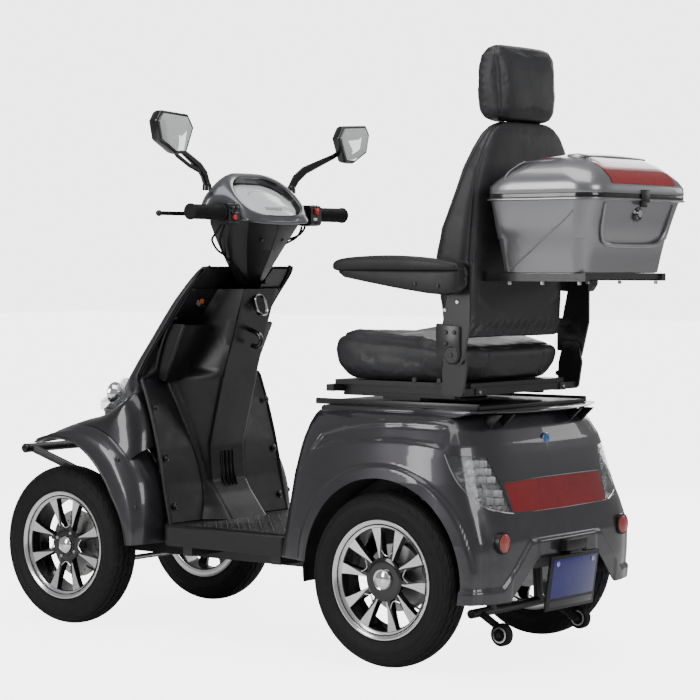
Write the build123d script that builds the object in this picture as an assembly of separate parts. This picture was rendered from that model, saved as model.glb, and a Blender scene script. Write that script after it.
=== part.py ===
from build123d import *
import os
from math import radians, tan

# Four-wheel mobility scooter. Millimetres. It drives towards -Y, +X is the rider's left, +Z is up.
# The origin is on the ground, under the middle of the scooter's overall box.

# ---------------------------------------------------------------- driving dimensions
HALF_LENGTH = 902.0          # bumper bar to luggage box, each way from the origin
TYRE_R = 208.0               # 3.00-10 tyre
TYRE_HALF_W = 44.5
RIM_SEAT_R = 127.0
RIM_FLANGE_R = 141.6
RIM_HALF_W = 38.0
FRONT_AXLE_Y = -672.0
REAR_AXLE_Y = 402.0
AXLE_Z = TYRE_R
FRONT_WHEEL_X = 277.0
REAR_WHEEL_X = 315.5
KINGPIN_X = 205.0
SPINDLE_R = 10.0
RUNNING = 0.05               # radial running clearance of pins and shafts

COLUMN_RAKE = 20.0           # steering column, degrees back from upright
COLUMN_FOOT = (-300.0, 890.0)  # a point (y, z) on the column's axis
COLUMN_R = 14.0
BAR_Y, BAR_Z, BAR_R = -225.0, 1075.0, 11.0
GRIP_R = 17.0
GRIP_IN, GRIP_OUT = 188.0, 311.0

DECK_TOP, DECK_LOW = 277.0, 230.0
MAT_TOP = 279.0
DECK_HALF_W = 290.0
BODY_TOP = 590.0             # rear body shell
BODY_HALF_W = 345.0
SKIN = 4.0                   # moulded panels

SEAT_Y = 345.0               # swivel axis
CUSHION_HALF_W = 241.0
CUSHION_LOW, CUSHION_TOP = 665.0, 775.0
HINGE_Y, HINGE_Z = 544.0, 733.0     # backrest recliner
ARM_PIVOT_Y, ARM_PIVOT_Z = 565.0, 930.0
RAIL_X = 180.0
RACK_TOP = 922.0
BOX_RIM = 1104.0
LID_HINGE_Y, LID_HINGE_Z = 587.4, 1122.0

os.makedirs("parts", exist_ok=True)


# ---------------------------------------------------------------- small shape helpers
def block(x0, x1, y0, y1, z0, z1):
    """A box between two corners."""
    size = Box(x1 - x0, y1 - y0, z1 - z0, align=(Align.MIN, Align.MIN, Align.MIN))
    return Pos(x0, y0, z0) * size


def rounded(points, radius):
    """A closed outline with rounded corners."""
    return FilletPolyline(*points, radius=radius, close=True) if radius else Polyline(*points, close=True)


def prism_x(points, x0, x1, radius=0):
    """A solid with a side outline of (y, z) points, from x0 to x1."""
    face = make_face(Plane.YZ.offset(x0) * rounded(points, radius))
    return extrude(face, x1 - x0, dir=(1, 0, 0))


def prism_y(points, y0, y1, radius=0):
    """A solid with a front outline of (x, z) points, from y0 to y1."""
    plane = Plane((0, y0, 0), x_dir=(1, 0, 0), z_dir=(0, -1, 0))
    return extrude(make_face(plane * rounded(points, radius)), y1 - y0, dir=(0, 1, 0))


def prism_z(points, z0, z1, radius=0):
    """A solid with a plan outline of (x, y) points, from z0 to z1."""
    return extrude(make_face(Plane.XY.offset(z0) * rounded(points, radius)), z1 - z0, dir=(0, 0, 1))


def mirrored(points):
    """A left-hand outline of (x, other) points, closed by its mirror image."""
    return [*points, *((-x, other) for x, other in reversed(points))]


def cyl_x(radius, x0, x1, y, z):
    """A cylinder along X."""
    return Pos((x0 + x1) / 2, y, z) * Rot(0, 90, 0) * Cylinder(radius, abs(x1 - x0))


def cyl_y(radius, y0, y1, x, z):
    """A cylinder along Y."""
    return Pos(x, (y0 + y1) / 2, z) * Rot(90, 0, 0) * Cylinder(radius, abs(y1 - y0))


def cyl_z(radius, z0, z1, x, y):
    """A cylinder along Z."""
    return Pos(x, y, (z0 + z1) / 2) * Cylinder(radius, z1 - z0)


def rod(radius, start, end):
    """A round bar between two points."""
    axis = Vector(end) - Vector(start)
    return extrude(Plane(start, z_dir=axis) * Circle(radius), axis.length)


def bent_rod(radius, points, bend):
    """A round bar along a route with one bend radius."""
    path = FilletPolyline(*points, radius=bend) if len(points) > 2 else Line(*points)
    return sweep(Plane(path @ 0, z_dir=path % 0) * Circle(radius), path)


def turned_x(outline, x, y, z):
    """A solid of revolution about X, from a closed wire of (x, radius)."""
    return Pos(x, y, z) * revolve(make_face(outline), Axis.X, 360)


def right_of(left):
    """The right-hand twin of a left-hand solid."""
    return mirror(left, Plane.YZ)


def column_point(z):
    """The point of the steering axis at height z."""
    return (0, COLUMN_FOOT[0] + (z - COLUMN_FOOT[1]) * tan(radians(COLUMN_RAKE)), z)


def save(name, *solids):
    """Writes one node from one solid or a group of separate solids."""
    flat = [s for shape in solids for s in shape.solids()]
    export_step(flat[0] if len(flat) == 1 else Compound(children=flat), f"parts/{name}.step")


# ---------------------------------------------------------------- wheels
def tyre():
    """A hollow tyre about X, centred on the origin."""
    bead, shoulder = 33.5, (40.0, 190.0)
    outer = [
        Line((-bead, RIM_SEAT_R), (-bead, 143)),
        ThreePointArc((-bead, 143), (-TYRE_HALF_W, 167), (-shoulder[0], shoulder[1])),
        ThreePointArc((-shoulder[0], shoulder[1]), (0, TYRE_R), shoulder),
        ThreePointArc(shoulder, (TYRE_HALF_W, 167), (bead, 143)),
        Line((bead, 143), (bead, RIM_SEAT_R)),
    ]
    inner = [
        Line((bead, RIM_SEAT_R), (26, RIM_SEAT_R)),
        Line((26, RIM_SEAT_R), (26, 147)),
        ThreePointArc((26, 147), (36.5, 167), (32, 184)),
        ThreePointArc((32, 184), (0, 198), (-32, 184)),
        ThreePointArc((-32, 184), (-36.5, 167), (-26, 147)),
        Line((-26, 147), (-26, RIM_SEAT_R)),
        Line((-26, RIM_SEAT_R), (-bead, RIM_SEAT_R)),
    ]
    return revolve(make_face(outer + inner), Axis.X, 360)


def rim(spoke_pairs):
    """An alloy wheel about X, its outer face towards +X."""
    barrel = [
        (-RIM_HALF_W, 119), (-RIM_HALF_W, RIM_FLANGE_R), (-33.5, RIM_FLANGE_R), (-33.5, RIM_SEAT_R),
        (33.5, RIM_SEAT_R), (33.5, RIM_FLANGE_R), (RIM_HALF_W, RIM_FLANGE_R), (RIM_HALF_W, 119),
    ]
    wheel = revolve(make_face(Polyline(*barrel, close=True)), Axis.X, 360)
    wheel += cyl_x(36, -22, 22, 0, 0)
    spoke = prism_x([(-8, 30), (8, 30), (10, 121), (-10, 121)], 6, 24)
    for k in range(spoke_pairs):
        for lean in (-1, 1):
            wheel += Rot(360 * k / spoke_pairs + lean * 65 / spoke_pairs, 0, 0) * spoke
    return wheel - cyl_x(SPINDLE_R + RUNNING, -60, 60, 0, 0)


def hub_cap():
    """The domed cap on a wheel's hub, over the spindle's end."""
    dome_r = 44.6
    cap = cyl_x(24, 22, 35, 0, 0) & Pos(35 - dome_r, 0, 0) * Sphere(dome_r)
    return cap - cyl_x(20, 20, 28, 0, 0) - cyl_x(12, 26, 32, 0, 0)


def make_wheels():
    disc = cyl_x(88, -26, -22, 0, 0) - cyl_x(SPINDLE_R + 2, -30, -20, 0, 0)
    for end, y, x, pairs in (("front", FRONT_AXLE_Y, FRONT_WHEEL_X, 4), ("rear", REAR_AXLE_Y, REAR_WHEEL_X, 5)):
        place = Pos(x, y, AXLE_Z)
        metal = [rim(pairs), hub_cap()] + ([disc] if end == "front" else [])
        save(f"{end}_tyre_left", place * tyre())
        save(f"{end}_tyre_right", right_of(place * tyre()))
        save(f"{end}_wheel_left", *(place * m for m in metal))
        save(f"{end}_wheel_right", *(right_of(place * m) for m in metal))


# ---------------------------------------------------------------- front axle and steering linkage
def make_front_axle():
    half_ear = 26.0
    """The front axle beam, which is returned, and the knuckles, calipers and tie rod."""
    beam = block(-KINGPIN_X, KINGPIN_X, FRONT_AXLE_Y - 16, FRONT_AXLE_Y + 16, AXLE_Z - 16, AXLE_Z + 16)
    for side in (-1, 1):
        boss = cyl_z(18, AXLE_Z - half_ear, AXLE_Z + half_ear, side * KINGPIN_X, FRONT_AXLE_Y)
        beam += boss
    for side in (-1, 1):
        beam -= cyl_z(SPINDLE_R, AXLE_Z - 60, AXLE_Z + 60, side * KINGPIN_X, FRONT_AXLE_Y)

    gap = 0.5
    web_x = KINGPIN_X + 20
    x, y = KINGPIN_X, FRONT_AXLE_Y
    knuckle = block(x - 14, web_x + 8, y - 14, y + 14, AXLE_Z + half_ear + gap, AXLE_Z + half_ear + 9)
    knuckle += block(x - 14, web_x + 8, y - 14, y + 14, AXLE_Z - half_ear - 9, AXLE_Z - half_ear - gap)
    knuckle += block(web_x, web_x + 8, y - 14, y + 14, AXLE_Z - half_ear - 9, AXLE_Z + half_ear + 9)
    knuckle += cyl_z(SPINDLE_R - RUNNING, AXLE_Z - half_ear - 5, AXLE_Z + half_ear + 5, x, y)
    knuckle += cyl_x(16, web_x + 4, FRONT_WHEEL_X - 27, y, AXLE_Z)
    knuckle += cyl_x(SPINDLE_R, FRONT_WHEEL_X - 30, FRONT_WHEEL_X + 26, y, AXLE_Z)
    knuckle += block(x - 10, x + 10, y, y + 90, AXLE_Z - half_ear - 9, AXLE_Z - half_ear - gap)
    # Brake caliper, over the disc behind the spindle.
    caliper = block(FRONT_WHEEL_X - 40, FRONT_WHEEL_X - 12, y + 52, y + 98, AXLE_Z - 24, AXLE_Z + 34)
    caliper -= block(FRONT_WHEEL_X - 28.5, FRONT_WHEEL_X - 19.5, y + 40, y + 91, AXLE_Z - 40, AXLE_Z + 50)
    caliper -= block(FRONT_WHEEL_X - 19.6, FRONT_WHEEL_X, y + 40, y + 120, AXLE_Z - 40, AXLE_Z + 50)
    caliper += block(web_x + 2, FRONT_WHEEL_X - 40, y + 56, y + 76, AXLE_Z - 8, AXLE_Z + 12)
    caliper += block(web_x + 2, web_x + 8, y + 14, y + 76, AXLE_Z - 8, AXLE_Z + 12)
    save("knuckle_left", knuckle, caliper)
    save("knuckle_right", right_of(knuckle), right_of(caliper))

    arm_y, arm_low = y + 80, AXLE_Z - half_ear - 9
    tie = cyl_x(7, -x, x, arm_y, arm_low - 10)
    for side in (-1, 1):
        tie += cyl_z(11, arm_low - 19, arm_low - 1, side * x, arm_y)
    save("tie_rod", tie)
    return beam


# ---------------------------------------------------------------- rear axle and suspension
SHOCK_X = 150.0
SHOCK_TOP = 455.0


def make_rear_axle():
    y, z = REAR_AXLE_Y, AXLE_Z
    unit = cyl_x(28, -262, 262, y, z) + cyl_x(74, -52, 52, y, z)
    unit += cyl_x(48, 30, 128, y - 74, z + 32) + block(30, 52, y - 76, y, z - 30, z + 60)
    for side in (-1, 1):
        inner, outer = side * 258, side * (REAR_WHEEL_X - 26)
        unit += cyl_x(80, min(inner, outer), max(inner, outer), y, z)
        unit += cyl_x(SPINDLE_R, min(inner, side * 341), max(inner, side * 341), y, z)
        unit += cyl_z(30, z + 20, z + 48, side * SHOCK_X, y)
        unit += cyl_z(8, z + 40, 405, side * SHOCK_X, y)
    save("transaxle", unit)
    coils, low, high = 7, z + 54, SHOCK_TOP - 8
    springs = [
        Pos(side * SHOCK_X, y, low + (high - low) * k / (coils - 1)) * Torus(24, 5)
        for side in (-1, 1)
        for k in range(coils)
    ]
    save("rear_springs", *springs)


# ---------------------------------------------------------------- frame
POST_R = 28.0
TOP_RAIL = 556.0


def make_frame(front_axle):
    rail_low, rail_high = 182.0, 222.0
    pieces = []
    for side in (-1, 1):
        x0, x1 = sorted((side * 85, side * 120))
        pieces += [
            block(x0, x1, FRONT_AXLE_Y + 16, 272, rail_low, rail_high),
            block(x0, x1, 146, 174, rail_low, TOP_RAIL),
            block(x0, x1, 146, 600, TOP_RAIL - 26, TOP_RAIL),
            block(x0, x1, 574, 600, 215, TOP_RAIL),
            block(x0, x1, 500, 600, 215, 240),
            rod(13, (side * 100, -600, 215), (side * 32, -428, 572)),
            rod(12, (side * 102, 540, 226), (side * 102, 545, 122)),
            rod(9, (side * 150, 545, 122), (side * 150, 621, 79)),
        ]
        drop = block(*sorted((side * (SHOCK_X - 18), side * (SHOCK_X + 18))), 386, 418, SHOCK_TOP, TOP_RAIL)
        damper = cyl_z(14, 330, SHOCK_TOP + 4, side * SHOCK_X, REAR_AXLE_Y)
        bore = cyl_z(8 + RUNNING, 320, 440, side * SHOCK_X, REAR_AXLE_Y)
        pieces += [drop, damper - bore]
        axle = cyl_x(6, *sorted((side * 145, side * 186)), 621, 79)
        pieces.append(axle)
    pieces += [
        block(-120, 120, -625, -585, rail_low, rail_high),
        block(-265, 265, -290, -260, 205, DECK_TOP - SKIN),
        block(-265, 265, 0, 30, 205, DECK_TOP - SKIN),
        block(-190, 190, 386, 418, TOP_RAIL - 26, TOP_RAIL),
        block(-120, 120, 574, 600, TOP_RAIL - 26, TOP_RAIL),
        block(-120, 120, 574, 600, 215, 240),
        block(-85, 85, 96, 272, rail_high - 6, rail_high),
        block(-120, 120, 300, 386, TOP_RAIL - 12, TOP_RAIL),
        cyl_x(11, -188, 188, 545, 122),
        cyl_z(POST_R, TOP_RAIL - 26, 606, 0, SEAT_Y),
        cyl_z(100, 606, 612, 0, SEAT_Y),
    ]
    head = rod(24, column_point(560), column_point(830))
    pieces.append(head)
    frame = pieces[0]
    for piece in pieces[1:]:
        frame += piece
    frame -= rod(COLUMN_R + RUNNING, column_point(500), column_point(860))
    frame -= cyl_z(20 + RUNNING, 540, 620, 0, SEAT_Y)
    save("chassis_frame", frame, front_axle)

    save("batteries", block(-80, -2, 112, 272, rail_high, 420), block(2, 80, 112, 272, rail_high, 420))
    controller = block(-75, 75, 440, 565, 440, 485)
    for k in range(7):
        controller -= block(-69 + 20 * k, -59 + 20 * k, 430, 600, 475, 490)
    controller += block(-20, 20, 440, 590, 434, 440) + block(-20, 20, 576, 590, 434, TOP_RAIL - 26)
    save("motor_controller", controller)

    wheel = turned_x(Polyline((-11, 6.1), (-11, 24), (-7, 27), (7, 27), (11, 24), (11, 6.1), close=True), 170, 621, 79)
    save("anti_tip_wheel_left", wheel)
    save("anti_tip_wheel_right", right_of(wheel))

    arms = [
        bent_rod(11, [(s * 205, -HALF_LENGTH + 12, 447), (s * 170, -800, 405), (s * 100, -700, 345),
                      (s * 92, -600, 222 + 8)], 28)
        for s in (-1, 1)
    ]
    bumper = cyl_x(12, -232, 232, -HALF_LENGTH + 12, 447) + arms[0] + arms[1]
    bumper -= block(-130, 130, -700, -560, 100, 222)
    save("front_bumper", bumper - frame)


# ---------------------------------------------------------------- floor, leg shield, fairing, fenders
def make_front_panels():
    plan = mirrored([(DECK_HALF_W, 58), (DECK_HALF_W, -325), (232, -383)])
    inner = mirrored([(DECK_HALF_W - SKIN, 54), (DECK_HALF_W - SKIN, -323), (230, -379)])
    deck = prism_z(plan, DECK_LOW, DECK_TOP, 12) - prism_z(inner, DECK_LOW - 5, DECK_TOP - SKIN, 10)
    mat = mirrored([(262, 44), (262, -292)])
    save("floor_deck", deck + prism_z(mat, DECK_TOP - 1, MAT_TOP, 18))

    # Room for the handlebar's lower cover to turn.
    turning_room = cyl_z(100, 884, 980, 0, -290)
    low_panel = [
        (-362, DECK_TOP), (-372, 313), (-397, 448), (-434, 580), (-460, 645),
        (-464, 645), (-438, 580), (-401, 448), (-376, 313), (-366, DECK_TOP),
    ]
    high_panel = [(-460, 645), (-439, 752), (-296, 931), (-300, 931), (-443, 752), (-464, 645)]
    spine = [
        (-262, 880), (-328, 668), (-380, 470), (-372, 375), (-300, DECK_TOP),
        (-380, DECK_TOP), (-440, 470), (-466, 668), (-345, 880),
    ]
    hollow = [(-266, 884), (-332, 668), (-384, 470), (-376, 375), (-304, 270), (-620, 270), (-620, 884)]
    shield = prism_x(low_panel, -235, 235) + prism_x(high_panel, -185, 185)
    shield = shield + prism_x(spine, -62, 62) - prism_x(hollow, -58, 58)
    for k in range(4):
        shield -= block(-70, -50, -362 + 14 * k, -355 + 14 * k, 392 - 6 * k, 450 - 12 * k)
    shield -= cyl_y(9, -300, -240, 0, 835) + cyl_y(8, -470, -300, 120, 848) + turning_room
    save("leg_shield", shield)

    bin_out = [(-459.5, 647), (-438.5, 752), (-413, 784), (-362, 784), (-432, 640)]
    bin_in = [(-455, 651), (-434, 752), (-407, 790), (-368, 790), (-436, 646)]
    left_bin = prism_x(bin_out, 68, 178) - prism_x(bin_in, 71, 175)
    save("storage_bins", left_bin, right_of(left_bin))

    front = [(-322, 940), (-400, 851), (-460, 773), (-520, 694), (-589, 612), (-650, 578), (-702, 540), (-730, 490)]
    back = [(-722, 445), (-410, 445), (-444, 580), (-470, 648), (-449, 752), (-300, 935)]
    skin_front = [(y + SKIN, z - 3) for y, z in front]
    cavity = [*skin_front, (-712, 400), (-380, 400), (-438, 580), (-462, 648), (-436, 752), (-280, 960)]
    nose = prism_x([*front, *back], -200, 200)
    nose -= prism_x(cavity, -197, 197)
    nose -= prism_x([(-420, 931), (-420, 970), (-250, 970), (-250, 931)], -230, 230) + turning_room
    lower_nose = prism_x([(-722, 452), (-716, 360), (-690, 300), (-680, 300), (-706, 360), (-713, 452)], -78, 78)
    lens_zone = block(120, 260, -640, -512, 560, 645) + block(-260, -120, -640, -512, 560, 645)
    nose += lower_nose
    lens = nose & lens_zone
    save("front_fairing", nose - lens_zone)
    save("headlamps", *lens.solids())

    lip = [(-440, 232), (-455, 290), (-488, 345), (-526, 405), (-572, 450), (-631, 484), (-706, 492)]
    crown = [(-765, 476), (-731, 499), (-687, 519), (-643, 534), (-592, 545), (-540, 572), (-470, 625)]
    rear = [(-446, 580), (-408, 448), (-392, 313), (-394, 232)]
    outline = [*crown, *rear, *lip]
    outer = prism_x(outline, 203, 322)
    face = make_face(Plane.YZ.offset(200) * Polyline(*outline, close=True))
    hollow = extrude(offset(face, -3, kind=Kind.INTERSECTION), 119, dir=(1, 0, 0))
    fender = outer - hollow - block(190, 240, -420, -300, 200, 700)
    save("front_fender_left", fender)
    save("front_fender_right", right_of(fender))


# ---------------------------------------------------------------- rear body and lamps
def rear_form(inset):
    """The rear body's outer form, or the form a skin's thickness inside it."""
    i = inset
    side = [
        (61 + i, 236), (130 + i, BODY_TOP - i), (545, BODY_TOP - 6 - i), (606 - i, 568 - i), (645 - i, 525),
        (694 - i, 440), (698 - i, 366), (690 - i, 300), (690 - i, 196), (560, 176), (61 + i, 176),
    ]
    plan = mirrored([
        (298 - i, 50), (300 - i, 61 + i), (333 - i, 180), (BODY_HALF_W - i, 300), (BODY_HALF_W - i, 560),
        (326 - i, 640 - i), (262 - i, 682 - i), (170, 698 - i),
    ])
    front = mirrored([(BODY_HALF_W - i, 170), (BODY_HALF_W - i, 470), (312 - i, 560 - i), (284 - i, BODY_TOP - i)])
    form = prism_x(side, -400, 400) & prism_z(plan, 150, 620)
    return form & prism_y(front, 40, 720)


def make_rear_body():
    i = SKIN
    shell = rear_form(0) - rear_form(i) - block(-400, 400, 0, 800, 150, 196)
    shell -= block(-341, 341, 40, 760, 150, 236) & block(-341, 341, 40, 600, 150, 236)
    arch = cyl_x(230, 240, 400, REAR_AXLE_Y - 8, AXLE_Z + 8)
    shell = shell - arch - right_of(arch) - cyl_z(POST_R + 4, 500, 700, 0, SEAT_Y)
    lamp_zone = block(207, 400, 560, 760, 374, 506)
    bar_zone = block(-200, 200, 600, 760, 366, 439)
    lamps = [(shell & zone) for zone in (lamp_zone, right_of(lamp_zone))]
    bar = shell & bar_zone
    save("rear_body", max((shell - lamp_zone - right_of(lamp_zone) - bar_zone).solids(), key=lambda s: s.volume))
    save("tail_lamps", *(s for lamp in lamps for s in lamp.solids()))
    save("tail_bar_lens", bar)

    full = rear_form(0)
    cup = cyl_y(24, 660, 690, 259, 306) - full
    save("reflectors", cup, right_of(cup))

    top = block(-255, 255, 150, 425, BODY_TOP, 605) - cyl_z(POST_R + 4, 500, 700, 0, SEAT_Y)
    wing_plan = mirrored([(255, 425), (262, 560), (240, 646), (170, 655)])
    wing_side = [(425, BODY_TOP), (425, 605), (560, 606), (655, 600), (655, 590), (600, 588), (560, BODY_TOP - 2)]
    wing = (prism_z(wing_plan, 560, 620) & prism_x(wing_side, -300, 300)) - full
    spoiler = top + wing
    for x in (-200, 200):
        spoiler += block(x - 12, x + 12, 600, 640, 560, 592) - full
    save("rear_spoiler", spoiler)

    lean = 8.0
    plate = Pos(0, 705, 196) * Rot(-lean, 0, 0) * Box(208, 3, 132)
    bracket = Pos(0, 705, 196) * Rot(-lean, 0, 0) * Pos(0, -4.5, 6) * Box(150, 6, 118)
    bracket += block(-50, 50, 690, 700, 268, 298) + block(-50, 50, 698, 722, 276, 298)
    save("number_plate", plate - bracket, bracket - full)


# ---------------------------------------------------------------- steering column and controls
def make_steering():
    foot, top = column_point(318), column_point(1060)
    shaft = rod(COLUMN_R, foot, top)
    clamp = block(-30, 30, -264, -207, 1042, 1091)
    save("steering_column", shaft + clamp - cyl_x(BAR_R, -60, 60, BAR_Y, BAR_Z))

    bar = cyl_x(BAR_R, -300, 306, BAR_Y, BAR_Z)
    grip = cyl_x(GRIP_R, GRIP_IN, GRIP_OUT, BAR_Y, BAR_Z) + cyl_x(21, GRIP_IN, GRIP_IN + 4, BAR_Y, BAR_Z)
    for k in range(9):
        grip -= cyl_x(GRIP_R + 2, GRIP_IN + 14 + 11 * k, GRIP_IN + 16 + 11 * k, BAR_Y, BAR_Z) - \
            cyl_x(GRIP_R - 1.2, GRIP_IN, GRIP_OUT, BAR_Y, BAR_Z)
    grip -= cyl_x(BAR_R, 150, 306, BAR_Y, BAR_Z)
    save("handlebar", bar, grip)
    throttle = cyl_x(GRIP_R, -GRIP_OUT, -GRIP_IN - 1, BAR_Y, BAR_Z)
    throttle += cyl_x(21, -GRIP_IN - 5, -GRIP_IN - 1, BAR_Y, BAR_Z) + cyl_x(21, -GRIP_OUT, -GRIP_OUT + 4, BAR_Y, BAR_Z)
    throttle -= cyl_x(BAR_R + RUNNING, -302, -150, BAR_Y, BAR_Z)
    save("throttle_grip", throttle)

    block_left = block(144, GRIP_IN - 0.5, BAR_Y - 26, BAR_Y + 24, BAR_Z - 30, BAR_Z + 24)
    block_left = fillet(block_left.edges().filter_by(Axis.X), 10)
    perch = block(148, 182, BAR_Y - 58, BAR_Y - 24, BAR_Z - 18, BAR_Z - 10)
    perch += block(148, 182, BAR_Y - 58, BAR_Y - 24, BAR_Z + 2, BAR_Z + 10)
    pivot = (165.0, BAR_Y - 46.0)
    perch = perch - cyl_z(5 + RUNNING, BAR_Z - 40, BAR_Z + 40, *pivot)
    block_left = block_left + perch - cyl_x(BAR_R, 100, 220, BAR_Y, BAR_Z)
    block_right = right_of(block_left)
    button_hole = cyl_y(7, BAR_Y + 10, BAR_Y + 40, 168, BAR_Z - 12)
    save("switch_blocks", block_left - button_hole, block_right)
    button = cyl_y(6.7, BAR_Y + 16, BAR_Y + 29, 168, BAR_Z - 12)
    save("horn_button", button)

    lever = cyl_z(9, BAR_Z - 9.5, BAR_Z + 1.5, *pivot)
    blade = [(160, -276), (200, -282), (350, -286), (350, -294), (200, -294), (160, -290)]
    lever += prism_z(blade, BAR_Z - 9, BAR_Z + 1) + Pos(352, -290, BAR_Z - 4) * Sphere(8)
    lever += cyl_z(5, BAR_Z - 17, BAR_Z + 9, *pivot)
    save("brake_lever_left", lever)
    save("brake_lever_right", right_of(lever))

    shell = [(-352, 1066), (-350, 1112), (-318, 1179), (-298, 1180), (-196, 1092), (-184, 1066)]
    hollow = [(-348, 1060), (-346, 1110), (-315, 1174), (-300, 1175), (-201, 1089), (-188, 1060)]
    shape = mirrored([(140, 1066), (140, 1120), (100, 1180), (60, 1190)])
    space = mirrored([(136, 1050), (136, 1118), (98, 1174), (60, 1185)])
    upper = prism_x(shell, -150, 150) & prism_y(shape, -360, -170)
    upper -= prism_x(hollow, -150, 150) & prism_y(space, -360, -170)
    window = prism_y(mirrored([(62, 1108), (48, 1160)]), -305, -180)
    screen = upper & window
    for side in (-1, 1):
        shoulder = block(*sorted((side * 138, side * 178)), -318, -262, 1112, 1140)
        upper += shoulder
    clear = cyl_x(BAR_R + 3, -200, 200, BAR_Y, BAR_Z)
    save("head_cover_upper", upper - window - clear)
    save("display", *screen.solids())

    def section(z, half_x, y0, y1):
        return Plane.XY.offset(z) * Pos(0, (y0 + y1) / 2) * RectangleRounded(2 * half_x, y1 - y0, 14)

    lower = loft([section(892, 36, -326, -270), section(1064, 132, -348, -188)])
    cables = []
    for route in (
        [(156, -243, 1043), (151, -262, 1012), (116, -290, 988), (88, -299, 962), (64, -296, 950)],
        [(170, -243, 1043), (167, -268, 1018), (130, -306, 1000), (96, -313, 976), (70, -305, 966)],
    ):
        path = Spline(*route)
        cable = sweep(Plane(path @ 0, z_dir=path % 0) * Circle(3), path) - lower
        cables += [cable, right_of(cable)]
    save("control_cables", *cables)
    lower -= loft([section(891, 32, -322, -274), section(1065, 128, -344, -192)])
    save("head_cover_lower", lower - clear)

    glass_c = Vector(362, -238, 1268)
    stem = bent_rod(5.5, [(170, -290, 1139), (196, -284, 1190), (290, -262, 1222), (345, -250, 1250)], 9)
    hexagon = [(-62, 22), (-34, 46), (44, 44), (62, 6), (40, -40), (-30, -44)]
    plane = Plane(glass_c, x_dir=(0.97, 0.12, 0), z_dir=(-0.12, 0.97, 0.05))
    head = extrude(make_face(plane * rounded(hexagon, 12)), 9)
    back = [(0.8 * a, 0.8 * b) for a, b in hexagon]
    rear_cap = loft([make_face(plane * rounded(hexagon, 12)), make_face(plane.offset(-16) * rounded(back, 9))])
    mirror_left = stem + head + rear_cap + cyl_z(11, 1140.4, 1150, 170, -290)
    save("mirror_left", mirror_left - cyl_z(20, 1100, 1140.4, 170, -290))
    save("mirror_right", right_of(mirror_left - cyl_z(20, 1100, 1140.4, 170, -290)))

    key = cyl_y(8.7, -272, -256, 0, 835) + block(-2, 2, -258, -236, 820, 850)
    save("ignition_key", key)
    save("power_button", cyl_y(7.7, -372, -352, 120, 848))


# ---------------------------------------------------------------- seat
def back_upright(side, radius, extra=0):
    """One of the backrest's two upright tubes, longer by extra at each end."""
    return rod(radius, (side * 150, 530 - extra / 15, 795 - extra), (side * 150, 552 + extra / 15, 1120 + extra))


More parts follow.
